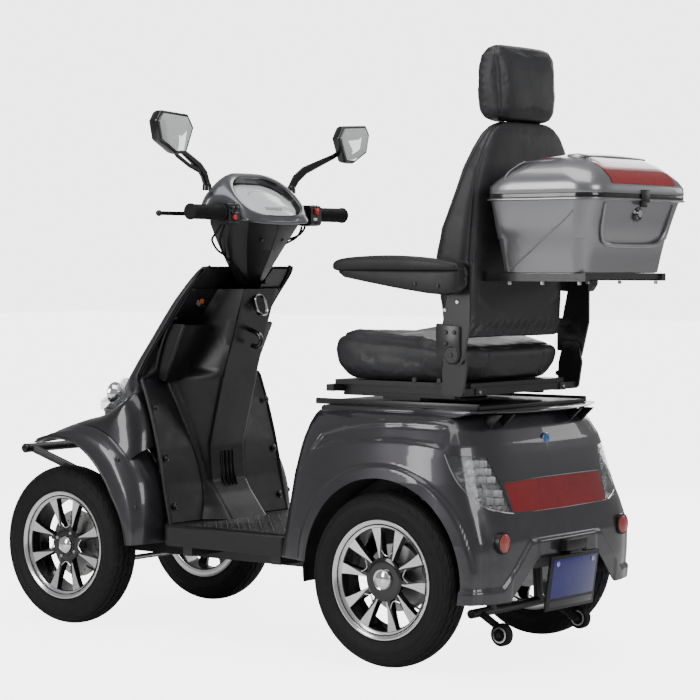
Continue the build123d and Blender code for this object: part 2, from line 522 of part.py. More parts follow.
def make_seat():
    swivel = cyl_z(20, 562, 616, 0, SEAT_Y) + cyl_z(98, 613, 619, 0, SEAT_Y)
    swivel += block(-192, 192, 290, 400, 619, 626)
    for x in (-RAIL_X, RAIL_X):
        swivel += block(x - 12, x + 12, 170, 500, 626, 634)
    save("seat_swivel", swivel)

    low = 634.4
    pan = block(-200, 200, 150, 552, 652, 664)
    for x in (-RAIL_X, RAIL_X):
        pan += block(x - 12, x + 12, 145, 556, low, 653)
    pan += block(-235, 235, 536, 560, low + 2, 653) + block(-235, 235, 150, 172, low + 2, 653)
    for side in (-1, 1):
        ear = prism_x([(505, 638), (565, 638), (575, 700), (566, 752), (522, 752), (508, 700)],
                      *sorted((side * 245, side * 252)), 8)
        pan += ear + block(*sorted((side * 230, side * 250)), 520, 560, low + 2, 653)
    pan -= cyl_x(8 + RUNNING, -300, 300, HINGE_Y, HINGE_Z)
    save("seat_pan", pan)

    cushion = block(-CUSHION_HALF_W, CUSHION_HALF_W, 125, 560, CUSHION_LOW, CUSHION_TOP)
    cushion = fillet(cushion.edges().filter_by(Axis.Z), 45)
    cushion -= block(-300, 300, 425, 600, 752, 800)
    save("seat_cushion", cushion)

    frame = None
    for side in (-1, 1):
        plate = prism_x([(516, 712), (568, 712), (590, 800), (590, 950), (545, 950), (512, 800)],
                        *sorted((side * 253, side * 260)), 10)
        plate += cyl_x(8, *sorted((side * 243.5, side * 256)), HINGE_Y, HINGE_Z)
        plate += back_upright(side, 11)
        frame = plate if frame is None else frame + plate
    frame += cyl_x(11, -256, 256, 530, 800) + cyl_x(9, -150, 150, 552, 1110)
    frame -= cyl_x(8 + RUNNING, -300, 300, ARM_PIVOT_Y, ARM_PIVOT_Z)
    save("backrest_frame", frame)

    side_outline = [
        (470, 768), (446, 866), (436, 960), (452, 1030), (492, 1116), (520, 1200), (530, 1262), (545, 1288),
        (580, 1288), (588, 1262), (584, 1130), (560, 960), (552, 768),
    ]
    front_outline = mirrored([(216, 768), (223, 800), (223, 1120), (200, 1200), (130, 1288)])
    back = prism_x(side_outline, -230, 230) & prism_y(front_outline, 400, 700)
    tubes = cyl_x(11.5, -262, 262, 530, 800) + cyl_x(9.5, -150, 150, 552, 1110)
    for side in (-1, 1):
        tubes += back_upright(side, 11.5, 4)
        tubes += block(*sorted((side * 138, side * 162)), 545, 620, RACK_TOP - 20, RACK_TOP + 2)
    posts = cyl_z(7, 1140, 1400, 60, 550) + cyl_z(7, 1140, 1400, -60, 550)
    save("backrest_cushion", back - tubes - posts)

    rest_side = [(508, 1302), (500, 1380), (528, 1455), (548, 1468), (572, 1462), (590, 1400), (586, 1310), (570, 1302)]
    rest_front = mirrored([(96, 1302), (121, 1330), (127, 1440), (100, 1468)])
    pad = prism_x(rest_side, -130, 130) & prism_y(rest_front, 480, 620)
    for x in (-60, 60):
        pad += cyl_z(6, 1170, 1320, x, 550)
    save("headrest", pad)

    arm = prism_x([(240, 926), (500, 874), (560, 870), (588, 892), (592, 926)], 266, 312)
    arm += cyl_x(8, 250, 268, ARM_PIVOT_Y, ARM_PIVOT_Z)
    soft = prism_x([(222, 940), (232, 930), (240, 926), (592, 926), (592, 946), (560, 952), (400, 966), (260, 962)], 263, 318)
    soft -= prism_x([(560, 924), (600, 924), (600, 950), (560, 950)], 255, 270) - block(262, 270, 550, 600, 924, 927)
    save("armrest_left", arm - soft, soft)
    save("armrest_right", right_of(arm - soft), right_of(soft))


# ---------------------------------------------------------------- rack and box
def make_luggage():
    rack = None
    for side in (-1, 1):
        rail = block(*sorted((side * 161, side * 179)), 590, 852, RACK_TOP - 18, RACK_TOP)
        rail += block(*sorted((side * 141, side * 161)), 590, 606, RACK_TOP - 18, RACK_TOP)
        rail += block(*sorted((side * 141, side * 159)), 538, 600, RACK_TOP - 18, RACK_TOP)
        rack = rail if rack is None else rack + rail
    for y in (640, 730, 830):
        rack += block(-170, 170, y, y + 16, RACK_TOP - 14, RACK_TOP)
    save("luggage_rack", rack - back_upright(1, 11) - back_upright(-1, 11))

    def section(z, half_x, y0, y1, radius):
        return Plane.XY.offset(z) * Pos(0, (y0 + y1) / 2) * RectangleRounded(2 * half_x, y1 - y0, radius)

    rim_low = BOX_RIM - 14
    box = loft([section(RACK_TOP, 176, 612, 848, 34), section(rim_low, 212, 592, 892, 48)])
    box += loft([section(rim_low, 218, 588, 900, 50), section(BOX_RIM, 221, 587, 902, 50)])
    box -= loft([section(RACK_TOP + 4, 172, 616, 844, 30), section(BOX_RIM + 1, 213, 592, 892, 46)])
    box -= cyl_y(9, 850, 910, 0, 1060)
    pin_r, barrel_r = 1.2, 2.4
    knuckles = []
    for x0, x1 in ((80, 105), (135, 160), (-105, -80), (-160, -135)):
        box += block(x0, x1, 584.4, 586.6, 1092, LID_HINGE_Z) + block(x0, x1, 584.4, 590, 1092, 1099)
        box += cyl_x(barrel_r, x0, x1, LID_HINGE_Y, LID_HINGE_Z)
        knuckles.append(cyl_x(barrel_r + 0.6, x0 - 0.5, x1 + 0.5, LID_HINGE_Y, LID_HINGE_Z))
    for x0, x1 in ((95, 145), (-145, -95)):
        box += cyl_x(pin_r, x0, x1, LID_HINGE_Y, LID_HINGE_Z)
    save("box_body", box)
    save("box_lock", cyl_y(8.7, 868, 888, 0, 1060))

    gap = 0.6
    low = BOX_RIM + gap
    lid = loft([section(low, 221, 587, 902, 50), section(1122, 219, 590, 900, 52)])
    dome = loft([section(1122, 219, 590, 900, 52), section(1160, 200, 628, 872, 60), section(1192, 150, 690, 810, 55)])
    hollow = loft([section(low - 1, 216, 592, 897, 46), section(1118, 214, 595, 895, 48)])
    inner = loft([section(1118, 213, 596, 894, 48), section(1157, 195, 634, 866, 56), section(1187, 146, 695, 805, 52)])
    lid = lid + dome - hollow - inner
    for x0, x1 in ((106, 134), (-134, -106)):
        lid += cyl_x(barrel_r, x0, x1, LID_HINGE_Y, LID_HINGE_Z)
        lid += block(x0, x1, LID_HINGE_Y, 593, 1120.5, 1123.5)
        lid -= cyl_x(pin_r + RUNNING, x0 - 2, x1 + 2, LID_HINGE_Y, LID_HINGE_Z)
    for room in knuckles:
        lid -= room
    lens_zone = block(-165, 165, 800, 910, 1126, 1200)
    lens = lid & lens_zone
    save("box_lid", lid - lens_zone)
    save("box_lens", *lens.solids())


make_wheels()
front_axle = make_front_axle()
make_rear_axle()
make_frame(front_axle)
make_front_panels()
make_rear_body()
make_steering()
make_seat()
make_luggage()
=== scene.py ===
from math import atan2, cos, hypot, pi, radians, sin, sqrt

import bmesh
import bpy
from mathutils import Matrix, Vector


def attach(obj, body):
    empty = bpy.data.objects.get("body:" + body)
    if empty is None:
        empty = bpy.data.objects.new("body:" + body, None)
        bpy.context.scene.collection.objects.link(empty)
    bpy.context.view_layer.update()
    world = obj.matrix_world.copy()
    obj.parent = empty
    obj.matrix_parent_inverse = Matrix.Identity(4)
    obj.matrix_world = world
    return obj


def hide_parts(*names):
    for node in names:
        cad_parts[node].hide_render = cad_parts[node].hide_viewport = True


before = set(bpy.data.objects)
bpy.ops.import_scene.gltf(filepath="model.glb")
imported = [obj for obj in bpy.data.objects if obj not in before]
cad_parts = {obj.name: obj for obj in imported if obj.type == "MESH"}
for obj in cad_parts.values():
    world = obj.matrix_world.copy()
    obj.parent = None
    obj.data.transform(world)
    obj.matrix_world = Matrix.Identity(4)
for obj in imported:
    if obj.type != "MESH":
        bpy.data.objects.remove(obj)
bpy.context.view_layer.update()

# Metres throughout. It drives towards -Y, +X is the rider's left, +Z is up.
AXLE_FRONT, AXLE_REAR, AXLE_HEIGHT = -0.672, 0.402, 0.208
FRONT_WHEEL_X, REAR_WHEEL_X = 0.277, 0.3155
BAR_Y, BAR_Z = -0.225, 1.075
MM = 0.001


# ---------------------------------------------------------------- shader nodes
class Socket:
    """A node's output that takes part in ordinary arithmetic."""

    def __init__(self, tree, out):
        self.tree, self.out = tree, out

    def maths(self, operation, first, second=None):
        node = self.tree.nodes.new("ShaderNodeMath")
        node.operation = operation
        for slot, value in zip(node.inputs, (first, second)):
            if isinstance(value, Socket):
                self.tree.links.new(value.out, slot)
            elif value is not None:
                slot.default_value = value
        return Socket(self.tree, node.outputs[0])

    def __add__(self, other):
        return self.maths("ADD", self, other)

    __radd__ = __add__

    def __sub__(self, other):
        return self.maths("SUBTRACT", self, other)

    def __rsub__(self, other):
        return self.maths("SUBTRACT", other, self)

    def __mul__(self, other):
        return self.maths("MULTIPLY", self, other)

    __rmul__ = __mul__

    def __truediv__(self, other):
        return self.maths("DIVIDE", self, other)

    def __gt__(self, other):
        return self.maths("GREATER_THAN", self, other)

    def __lt__(self, other):
        return self.maths("LESS_THAN", self, other)

    def __pow__(self, other):
        return self.maths("POWER", self, other)


class Finish:
    """One material: a Principled surface with its own pattern nodes."""

    def __init__(self, name, colour, roughness, **uniform):
        self.material = bpy.data.materials.new(name)
        self.material.use_nodes = True
        self.tree = self.material.node_tree
        self.tree.nodes.clear()
        self.surface = self.tree.nodes.new("ShaderNodeBsdfPrincipled")
        output = self.tree.nodes.new("ShaderNodeOutputMaterial")
        self.tree.links.new(self.surface.outputs[0], output.inputs[0])
        self.surface.inputs["Base Color"].default_value = (*colour, 1)
        self.surface.inputs["Roughness"].default_value = roughness
        self.colour, self.roughness = colour, roughness
        for socket, value in uniform.items():
            self.surface.inputs[socket.replace("_", " ")].default_value = value
        self.material.diffuse_color = (*colour, 1)

    def node(self, kind, settings=(), out=0, **inputs):
        """Any node, by its type, its settings and the values or links of its sockets."""
        made = self.tree.nodes.new("ShaderNode" + kind)
        for name, value in dict(settings).items():
            setattr(made, name, value)
        for name, value in inputs.items():
            slot = made.inputs[int(name[1:])] if name[1:].isdigit() else made.inputs[name.replace("_", " ")]
            if isinstance(value, Socket):
                self.tree.links.new(value.out, slot)
            else:
                slot.default_value = value
        return Socket(self.tree, made.outputs[out])

    def place(self, offset=(0, 0, 0), scale=(1, 1, 1), turn=(0, 0, 0)):
        """Object coordinates, moved, turned and scaled."""
        where = self.node("TexCoord", out=3)
        return self.node("Mapping", Vector=where, Location=offset, Rotation=turn, Scale=scale)

    def noise(self, scale, detail=3.0, where=None, rough=0.55):
        return self.node("TexNoise", Vector=where or self.place(), Scale=scale, Detail=detail, Roughness=rough)

    def cells(self, scale, feature="F1", where=None, spread=1.0):
        return self.node("TexVoronoi", {"feature": feature}, Vector=where or self.place(), Scale=scale,
                         Randomness=spread)

    def axis(self, where, letter):
        return self.node("SeparateXYZ", out="XYZ".index(letter), Vector=where)

    def feed(self, socket, value):
        self.tree.links.new(value.out, self.surface.inputs[socket])

    def tint(self, mask, other, socket="Base Color"):
        """Base colour blended to another colour by a mask."""
        self.feed(socket, self.blend(mask, self.colour, other))

    def blend(self, mask, first, second):
        made = self.tree.nodes.new("ShaderNodeMix")
        made.data_type = "RGBA"
        self.tree.links.new(mask.out, made.inputs[0])
        for slot, value in ((made.inputs[6], first), (made.inputs[7], second)):
            if isinstance(value, Socket):
                self.tree.links.new(value.out, slot)
            else:
                slot.default_value = (*value, 1)
        return Socket(self.tree, made.outputs[2])

    def ramp(self, value, low, high):
        """0 below low, 1 above high."""
        return self.node("MapRange", Value=value, From_Min=low, From_Max=high)

    def bump(self, height, depth, strength=1.0, under=None):
        links = {"Height": height, "Distance": depth, "Strength": strength}
        if under:
            links["Normal"] = under
        made = self.node("Bump", **links)
        self.feed("Normal", made)
        return made

    def vary_roughness(self, mask, spread):
        self.feed("Roughness", mask * spread + (self.roughness - spread / 2))


def car_paint(name, colour, metallic, flake):
    """Metallic lacquer: flakes, slight cloudiness, faint orange peel and a little road dust low down."""
    f = Finish(name, colour, 0.34, Metallic=metallic, Coat_Weight=0.85, Coat_Roughness=0.05, Coat_IOR=1.5)
    speck = f.cells(1500.0, spread=1.0)
    cloud = f.noise(7.0, 4.0)
    bright = tuple(min(1.0, c * flake + 0.02) for c in colour)
    lit = f.blend(f.ramp(speck, 0.28, 0.05) * 0.55, colour, bright)
    dust = f.ramp(f.axis(f.place(), "Z"), 0.42, 0.1) * f.ramp(f.noise(26.0, 5.0), 0.45, 0.75)
    f.feed("Base Color", f.blend(dust * 0.16, lit, (0.3, 0.28, 0.26)))
    f.feed("Roughness", cloud * 0.1 + dust * 0.2 + 0.26)
    f.bump(f.noise(220.0, 2.0), 0.00005, 0.35)
    return f.material


def moulded(name, colour, roughness, grain=900.0, depth=0.00012, sheen=0.0):
    """Moulded plastic with a fine spark-eroded grain and rubbed, lighter patches."""
    f = Finish(name, colour, roughness, Specular_IOR_Level=0.5)
    rub = f.ramp(f.noise(9.0, 5.0), 0.4, 0.72)
    f.tint(rub * 0.35, tuple(c * 1.7 + 0.006 for c in colour))
    grit = f.cells(grain, "F1") + f.noise(grain * 0.6, 3.0) * 0.7
    f.feed("Roughness", f.noise(30.0, 4.0) * 0.16 - rub * 0.06 + (roughness - 0.05))
    f.bump(grit, depth, 0.5)
    return f.material


def leather(name):
    """Grained leatherette: pebbled cells, finer creases between them and soft wrinkles."""
    f = Finish(name, (0.016, 0.0163, 0.0185), 0.42, Specular_IOR_Level=0.5)
    where = f.place()
    warp = f.node("TexNoise", out=1, Vector=where, Scale=60.0, Detail=2.0)
    bent = f.node("VectorMath", {"operation": "MULTIPLY_ADD"}, _0=warp, _1=(0.004, 0.004, 0.004), _2=where)
    pebble = f.cells(430.0, "DISTANCE_TO_EDGE", bent)
    fine = f.cells(1100.0, "F1", bent)
    wrinkle = f.noise(24.0, 5.0, rough=0.6)
    height = f.ramp(pebble, 0.0, 0.16) * 0.7 + fine * 0.25
    worn = f.ramp(f.noise(5.0, 4.0), 0.45, 0.75)
    f.tint(f.ramp(pebble, 0.12, 0.0) * 0.5 + worn * 0.25, (0.034, 0.034, 0.037))
    f.feed("Roughness", pebble * -0.15 + wrinkle * 0.2 + 0.36)
    soft = f.bump(wrinkle, 0.0016, 0.5)
    f.bump(height, 0.00022, 0.55, under=soft)
    return f.material


def rubber(name, dust=0.35):
    f = Finish(name, (0.0055, 0.0055, 0.006), 0.62, Specular_IOR_Level=0.28)
    mask = f.ramp(f.noise(38.0, 6.0), 0.48, 0.78)
    f.tint(mask * dust, (0.03, 0.028, 0.026))
    f.feed("Roughness", f.noise(80.0, 4.0) * 0.2 + mask * 0.12 + 0.5)
    f.bump(f.noise(900.0, 3.0), 0.00012, 0.45)
    return f.material


def machined(name, centre=None, colour=(0.86, 0.86, 0.88)):
    """Bright turned alloy: fine tool rings round the hub under a clear lacquer."""
    f = Finish(name, colour, 0.2, Metallic=1.0, Coat_Weight=0.4, Coat_Roughness=0.08)
    where = f.place((0, -centre[0], -centre[1]) if centre else (0, 0, 0))
    y, z = f.axis(where, "Y"), f.axis(where, "Z")
    radius = (y * y + z * z) ** 0.5
    ring = f.maths_sine(radius, 7000.0)
    smear = f.noise(55.0, 5.0)
    f.tint(f.ramp(smear, 0.5, 0.8) * 0.3, tuple(c * 0.72 for c in colour))
    f.feed("Roughness", ring * 0.04 + smear * 0.16 + 0.1)
    f.bump(ring, 0.00002, 0.4)
    return f.material


def sine(self, value, rate):
    scaled = value * rate
    return scaled.maths("SINE", scaled)


Finish.maths_sine = sine


def coated_steel(name, colour=(0.014, 0.014, 0.015), roughness=0.36):
    """Powder coat over steel: fine ripple, and paint rubbed thin in places."""
    f = Finish(name, colour, roughness, Specular_IOR_Level=0.5, Coat_Weight=0.25, Coat_Roughness=0.2)
    rub = f.ramp(f.noise(46.0, 6.0, rough=0.7), 0.62, 0.8)
    f.tint(rub * 0.5, tuple(c * 2.5 + 0.02 for c in colour))
    f.feed("Roughness", f.noise(120.0, 3.0) * 0.18 + rub * 0.15 + (roughness - 0.08))
    f.bump(f.noise(650.0, 2.0), 0.00012, 0.45)
    return f.material


def bare_metal(name, colour, roughness, grain=(1, 1, 1), pits=0.0002):
    f = Finish(name, colour, roughness, Metallic=1.0)
    streak = f.noise(160.0, 4.0, f.place(scale=grain))
    stain = f.ramp(f.noise(22.0, 5.0), 0.5, 0.8)
    f.tint(stain * 0.5 + streak * 0.2, tuple(c * 0.55 for c in colour))
    f.feed("Roughness", streak * 0.2 + stain * 0.15 + (roughness - 0.1))
    f.bump(f.noise(420.0, 4.0), pits, 0.4)
    return f.material


def polished(name, colour=(0.92, 0.92, 0.94), roughness=0.05, metallic=1.0):
    """Chrome or mirror glass, with faint smears."""
    f = Finish(name, colour, roughness, Metallic=metallic)
    smear = f.noise(40.0, 5.0)
    f.tint(f.ramp(smear, 0.55, 0.85) * 0.12, tuple(c * 0.8 for c in colour))
    f.feed("Roughness", smear * 0.06 + (roughness - 0.02))
    return f.material


def lens(name, colour, clear, ribs=None, along="Y", see_through=1.0):
    """Moulded lamp lens, clear or tinted, with optic ribs under the smooth face."""
    f = Finish(name, colour, 0.06, Transmission_Weight=clear, IOR=1.5, Coat_Weight=0.6, Coat_Roughness=0.03,
               Alpha=see_through)
    cloud = f.noise(30.0, 4.0)
    f.tint(f.ramp(cloud, 0.4, 0.8) * 0.4, tuple(c * 0.62 for c in colour))
    f.feed("Roughness", cloud * 0.08 + 0.03)
    if ribs:
        wave = f.maths_sine(f.axis(f.place(), along), ribs)
        f.bump(wave * 0.5 + cloud * 0.2, 0.0006, 0.5)
    return f.material


def enamel(name, colour, roughness=0.2):
    """Gloss enamel or glossy plastic."""
    f = Finish(name, colour, roughness, Coat_Weight=0.5, Coat_Roughness=0.08)
    mark = f.ramp(f.noise(34.0, 5.0), 0.5, 0.8)
    f.tint(mark * 0.3, tuple(c * 0.7 + 0.01 for c in colour))
    f.feed("Roughness", mark * 0.15 + roughness)
    f.bump(f.noise(300.0, 2.0), 0.00005, 0.3)
    return f.material


def foot_mat(name):
    """Footboard rubber with moulded pimples and trodden-in dust."""
    f = Finish(name, (0.014, 0.014, 0.015), 0.4, Specular_IOR_Level=0.5)
    wear = f.ramp(f.noise(14.0, 6.0), 0.42, 0.72)
    pimple = f.cells(160.0, "F1", spread=0.15)
    f.tint(wear * 0.35, (0.045, 0.044, 0.043))
    f.feed("Roughness", wear * 0.2 + f.noise(60.0, 4.0) * 0.2 + 0.22)
    f.bump(f.ramp(pimple, 0.45, 0.2), 0.0005, 0.5)
    return f.material


GUNMETAL = car_paint("gunmetal_lacquer", (0.042, 0.039, 0.046), 0.55, 3.0)
# The cowl under the headlamps takes the gunmetal lacquer painted darker: painted shade.
COWL_PAINTED_SHADE = car_paint("cowl_lacquer_painted_shade", (0.016, 0.015, 0.018), 0.4, 2.6)
SILVER = car_paint("silver_grey_lacquer", (0.115, 0.118, 0.130), 0.6, 2.2)
BOX_SILVER = car_paint("box_silver_lacquer", (0.27, 0.27, 0.28), 0.75, 1.7)
SATIN = moulded("satin_black_moulding", (0.0065, 0.0065, 0.0080), 0.34, 1000.0, 0.00007)
GRAINED = moulded("grained_black_moulding", (0.0075, 0.0075, 0.0085), 0.48, 700.0, 0.00016)
GLOSS_BLACK = enamel("gloss_black", (0.008, 0.008, 0.009), 0.12)
FOOT_MAT = foot_mat("footboard_mat")
LEATHER = leather("black_leatherette")
URETHANE = moulded("black_urethane_skin", (0.0075, 0.0075, 0.008), 0.5, 500.0, 0.0002)
TYRE = rubber("tyre_rubber")
GRIP_RUBBER = rubber("grip_rubber", 0.15)
FRONT_ALLOY = machined("front_rim_alloy", (AXLE_FRONT, AXLE_HEIGHT))
REAR_ALLOY = machined("rear_rim_alloy", (AXLE_REAR, AXLE_HEIGHT))
BLACK_STEEL = coated_steel("black_powder_coat")
ZINC = bare_metal("zinc_plate", (0.62, 0.62, 0.6), 0.34)
CAST_IRON = bare_metal("oiled_cast_iron", (0.2, 0.185, 0.165), 0.5, pits=0.0005)
CAST_ALLOY = bare_metal("sand_cast_alloy", (0.55, 0.55, 0.56), 0.48, pits=0.0005)
CHROME = polished("chrome")
# Mirror glass only partly metallic, so its near-white base shows as a diffuse face: painted reflection.
MIRROR_PAINTED_REFLECTION = polished("mirror_glass_painted_reflection", (0.93, 0.95, 0.96), 0.03, 0.45)
LAMP_SILVER = polished("lamp_reflector_silver", (0.95, 0.95, 0.97), 0.25, 0.6)
CLEAR = lens("clear_lens", (0.9, 0.93, 0.96), 0.92, see_through=0.35)
RED_LENS = lens("red_lens", (0.30, 0.002, 0.006), 0.25, 900.0, "X")
RED_CLEAR = lens("red_clear_lens", (0.34, 0.003, 0.006), 0.15, 520.0, "X")
PALE_RED = lens("pale_red_reflector", (0.42, 0.06, 0.05), 0.15, 1500.0, "Z")
DIAL = enamel("pale_dial", (0.86, 0.88, 0.9), 0.12)
BLUE = enamel("plate_blue_enamel", (0.002, 0.006, 0.15), 0.18)
BADGE_BLUE = enamel("cap_blue_enamel", (0.02, 0.12, 0.3), 0.18)
ORANGE = enamel("orange_button", (0.75, 0.13, 0.02), 0.25)
RED_BUTTON = enamel("red_button", (0.6, 0.02, 0.015), 0.25)
BATTERY_CASE = moulded("battery_case", (0.05, 0.05, 0.056), 0.5)


# ---------------------------------------------------------------- mesh making
def finished(name, mesh_or_bm, material, body, *, stands_for=(), slot=None, smooth=40):
    """A finished piece at the origin, shaded, on its body."""
    if isinstance(mesh_or_bm, bmesh.types.BMesh):
        mesh = bpy.data.meshes.new(name)
        mesh_or_bm.to_mesh(mesh)
        mesh_or_bm.free()
    else:
        mesh = mesh_or_bm
    piece = bpy.data.objects.new(name, mesh)
    bpy.context.scene.collection.objects.link(piece)
    if not mesh.materials:
        for one in (material if isinstance(material, (list, tuple)) else [material]):
            mesh.materials.append(one)
    shade(mesh, smooth)
    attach(piece, body)
    if stands_for:
        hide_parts(*stands_for)
    return piece


def shade(mesh, degrees):
    """Smooth faces, with edges sharper than an angle kept crisp."""
    bm = bmesh.new()
    bm.from_mesh(mesh)
    limit = radians(degrees)
    for face in bm.faces:
        face.smooth = True
    for edge in bm.edges:
        edge.smooth = len(edge.link_faces) == 2 and edge.calc_face_angle(0) < limit
    bm.to_mesh(mesh)
    bm.free()


def outward(bm, merge=1e-5):
    """Doubles merged and every face turned outwards."""
    bmesh.ops.remove_doubles(bm, verts=bm.verts, dist=merge)
    bmesh.ops.recalc_face_normals(bm, faces=bm.faces)
    return bm


def loft(rings, closed=True, caps=True, bm=None, material=0):
    """Skins equal rings of points. closed joins each ring's ends, caps fills the first and last."""
    bm = bm or bmesh.new()
    rows = [[bm.verts.new(p) for p in ring] for ring in rings]
    count = len(rows[0])
    made = []
    for lower, upper in zip(rows, rows[1:]):
        for k in range(count if closed else count - 1):
            quad = (lower[k], lower[(k + 1) % count], upper[(k + 1) % count], upper[k])
            made.append(bm.faces.new(quad))
    if caps and closed:
        made += [bm.faces.new(rows[0][::-1]), bm.faces.new(rows[-1])]
    for face in made:
        face.material_index = material
    return bm


def solid(bm, **modifiers):
    """A mesh with modifiers applied: thickness, bevel and subdivision, in that order."""
    mesh = bpy.data.meshes.new("blank")
    bm.to_mesh(mesh)
    bm.free()
    return refined(mesh, **modifiers)


def refined(mesh, thickness=0.0, offset=-1.0, bevel=0.0, bevel_steps=2, levels=0, cut_by=(), simple=False):
    blank = bpy.data.objects.new("blank", mesh)
    bpy.context.scene.collection.objects.link(blank)
    if thickness:
        wall = blank.modifiers.new("wall", "SOLIDIFY")
        wall.thickness, wall.offset = thickness, offset
        wall.use_even_offset = True
    for tool in cut_by:
        cut = blank.modifiers.new("cut", "BOOLEAN")
        cut.operation, cut.object, cut.solver = "DIFFERENCE", tool, "EXACT"
    if bevel:
        edge = blank.modifiers.new("edge", "BEVEL")
        edge.width, edge.segments, edge.limit_method = bevel, bevel_steps, "ANGLE"
        edge.angle_limit = radians(28)
        edge.harden_normals = False
    if levels:
        smooth = blank.modifiers.new("smooth", "SUBSURF")
        smooth.levels = smooth.render_levels = levels
        smooth.subdivision_type = "SIMPLE" if simple else "CATMULL_CLARK"
    result = evaluated(blank)
    bpy.data.objects.remove(blank)
    return result


def evaluated(piece):
    """The mesh that a piece's modifiers give."""
    graph = bpy.context.evaluated_depsgraph_get()
    graph.update()
    return bpy.data.meshes.new_from_object(piece.evaluated_get(graph), depsgraph=graph)


def turned(profile, centre, steps=96, bm=None, material=0):
    """A ring turned about an axle along X. profile is (x, radius) and is a closed loop; x is from the centre."""
    bm = bm or bmesh.new()
    rows = []
    for k in range(steps):
        angle = 2 * pi * k / steps
        rows.append([bm.verts.new((centre[0] + x, centre[1] + r * cos(angle), centre[2] + r * sin(angle)))
                     for x, r in profile])
    for k in range(steps):
        this, following = rows[k], rows[(k + 1) % steps]
        for j in range(len(profile)):
            quad = (this[j], this[(j + 1) % len(profile)], following[(j + 1) % len(profile)], following[j])
            if len({v.co.to_tuple(6) for v in quad}) > 2:
                bm.faces.new(quad).material_index = material
    return bm


def tube(points, radius, steps=12, smooth_path=True, caps=True):
    """A round bar along a smooth route."""
    curve = bpy.data.curves.new("route", "CURVE")
    curve.dimensions = "3D"
    spline = curve.splines.new("NURBS" if smooth_path else "POLY")
    spline.points.add(len(points) - 1)
    for slot, point in zip(spline.points, points):
        slot.co = (*point, 1)
    if smooth_path:
        spline.order_u = 3
        spline.use_endpoint_u = True
        spline.resolution_u = 8
    curve.bevel_depth, curve.bevel_resolution = radius, steps // 4
    curve.use_fill_caps = caps
    holder = bpy.data.objects.new("route", curve)
    bpy.context.scene.collection.objects.link(holder)
    mesh = evaluated(holder)
    bpy.data.objects.remove(holder)
    bm = bmesh.new()
    bm.from_mesh(mesh)
    return outward(bm)


def extruded(outline, low, high, axis="X"):
    """A prism between two heights of one axis. outline is in the other two, in order."""
    order = {"X": lambda a, b, h: (h, a, b), "Y": lambda a, b, h: (a, h, b), "Z": lambda a, b, h: (a, b, h)}[axis]
    rings = [[order(a, b, h) for a, b in outline] for h in (low, high)]
    return outward(loft(rings))


def joined(*parts):
    """Several bmeshes as one."""
    whole = bmesh.new()
    for part in parts:
        mesh = bpy.data.meshes.new("part")
        part.to_mesh(mesh)
        part.free()
        whole.from_mesh(mesh)
        bpy.data.meshes.remove(mesh)
    return whole


def mirror_of(bm):
    """A right-hand copy of a left-hand bmesh."""
    copy = bm.copy()
    for vert in copy.verts:
        vert.co.x = -vert.co.x
    bmesh.ops.reverse_faces(copy, faces=copy.faces)
    return copy


def mirrored_mesh(mesh):
    bm = bmesh.new()
    bm.from_mesh(mesh)
    flipped = mirror_of(bm)
    bm.free()
    other = bpy.data.meshes.new("right")
    flipped.to_mesh(other)
    flipped.free()
    for one in mesh.materials:
        other.materials.append(one)
    return other


def spaced(points, count, closed=False):
    """count points at equal steps along a polyline, on a smooth curve through it."""
    pts = [Vector(p) for p in points]
    if closed:
        pts.append(pts[0].copy())
    dense = []
    for k in range(len(pts) - 1):
        before = pts[k - 1] if k else (pts[-2] if closed else pts[0])
        after = pts[k + 2] if k + 2 < len(pts) else (pts[1] if closed else pts[-1])
        for j in range(12):
            t = j / 12
            a, b, c, d = before, pts[k], pts[k + 1], after
            dense.append(0.5 * ((2 * b) + (c - a) * t + (2 * a - 5 * b + 4 * c - d) * t * t
                                + (3 * b - a - 3 * c + d) * t ** 3))
    dense.append(pts[-1])
    lengths = [0.0]
    for a, b in zip(dense, dense[1:]):
        lengths.append(lengths[-1] + (b - a).length)
    steps = count if closed else count - 1
    result, at = [], 0
    for k in range(count):
        goal = lengths[-1] * k / steps
        while at < len(dense) - 2 and lengths[at + 1] < goal:
            at += 1
        span = lengths[at + 1] - lengths[at] or 1
        result.append(dense[at].lerp(dense[at + 1], min(1.0, (goal - lengths[at]) / span)))
    return result


# ---------------------------------------------------------------- geometry nodes
def facing_turn(facing, along):
    """The turn that points a unit's Z along facing, with its X along a direction or spun by an angle."""
    up = Vector(facing).normalized()
    if not isinstance(along, Vector):
        return (up.to_track_quat("Z", "Y").to_matrix() @ Matrix.Rotation(along, 3, "Z")).to_euler()
    side = up.cross(along).normalized()
    return Matrix((side.cross(up), side, up)).transposed().to_euler()


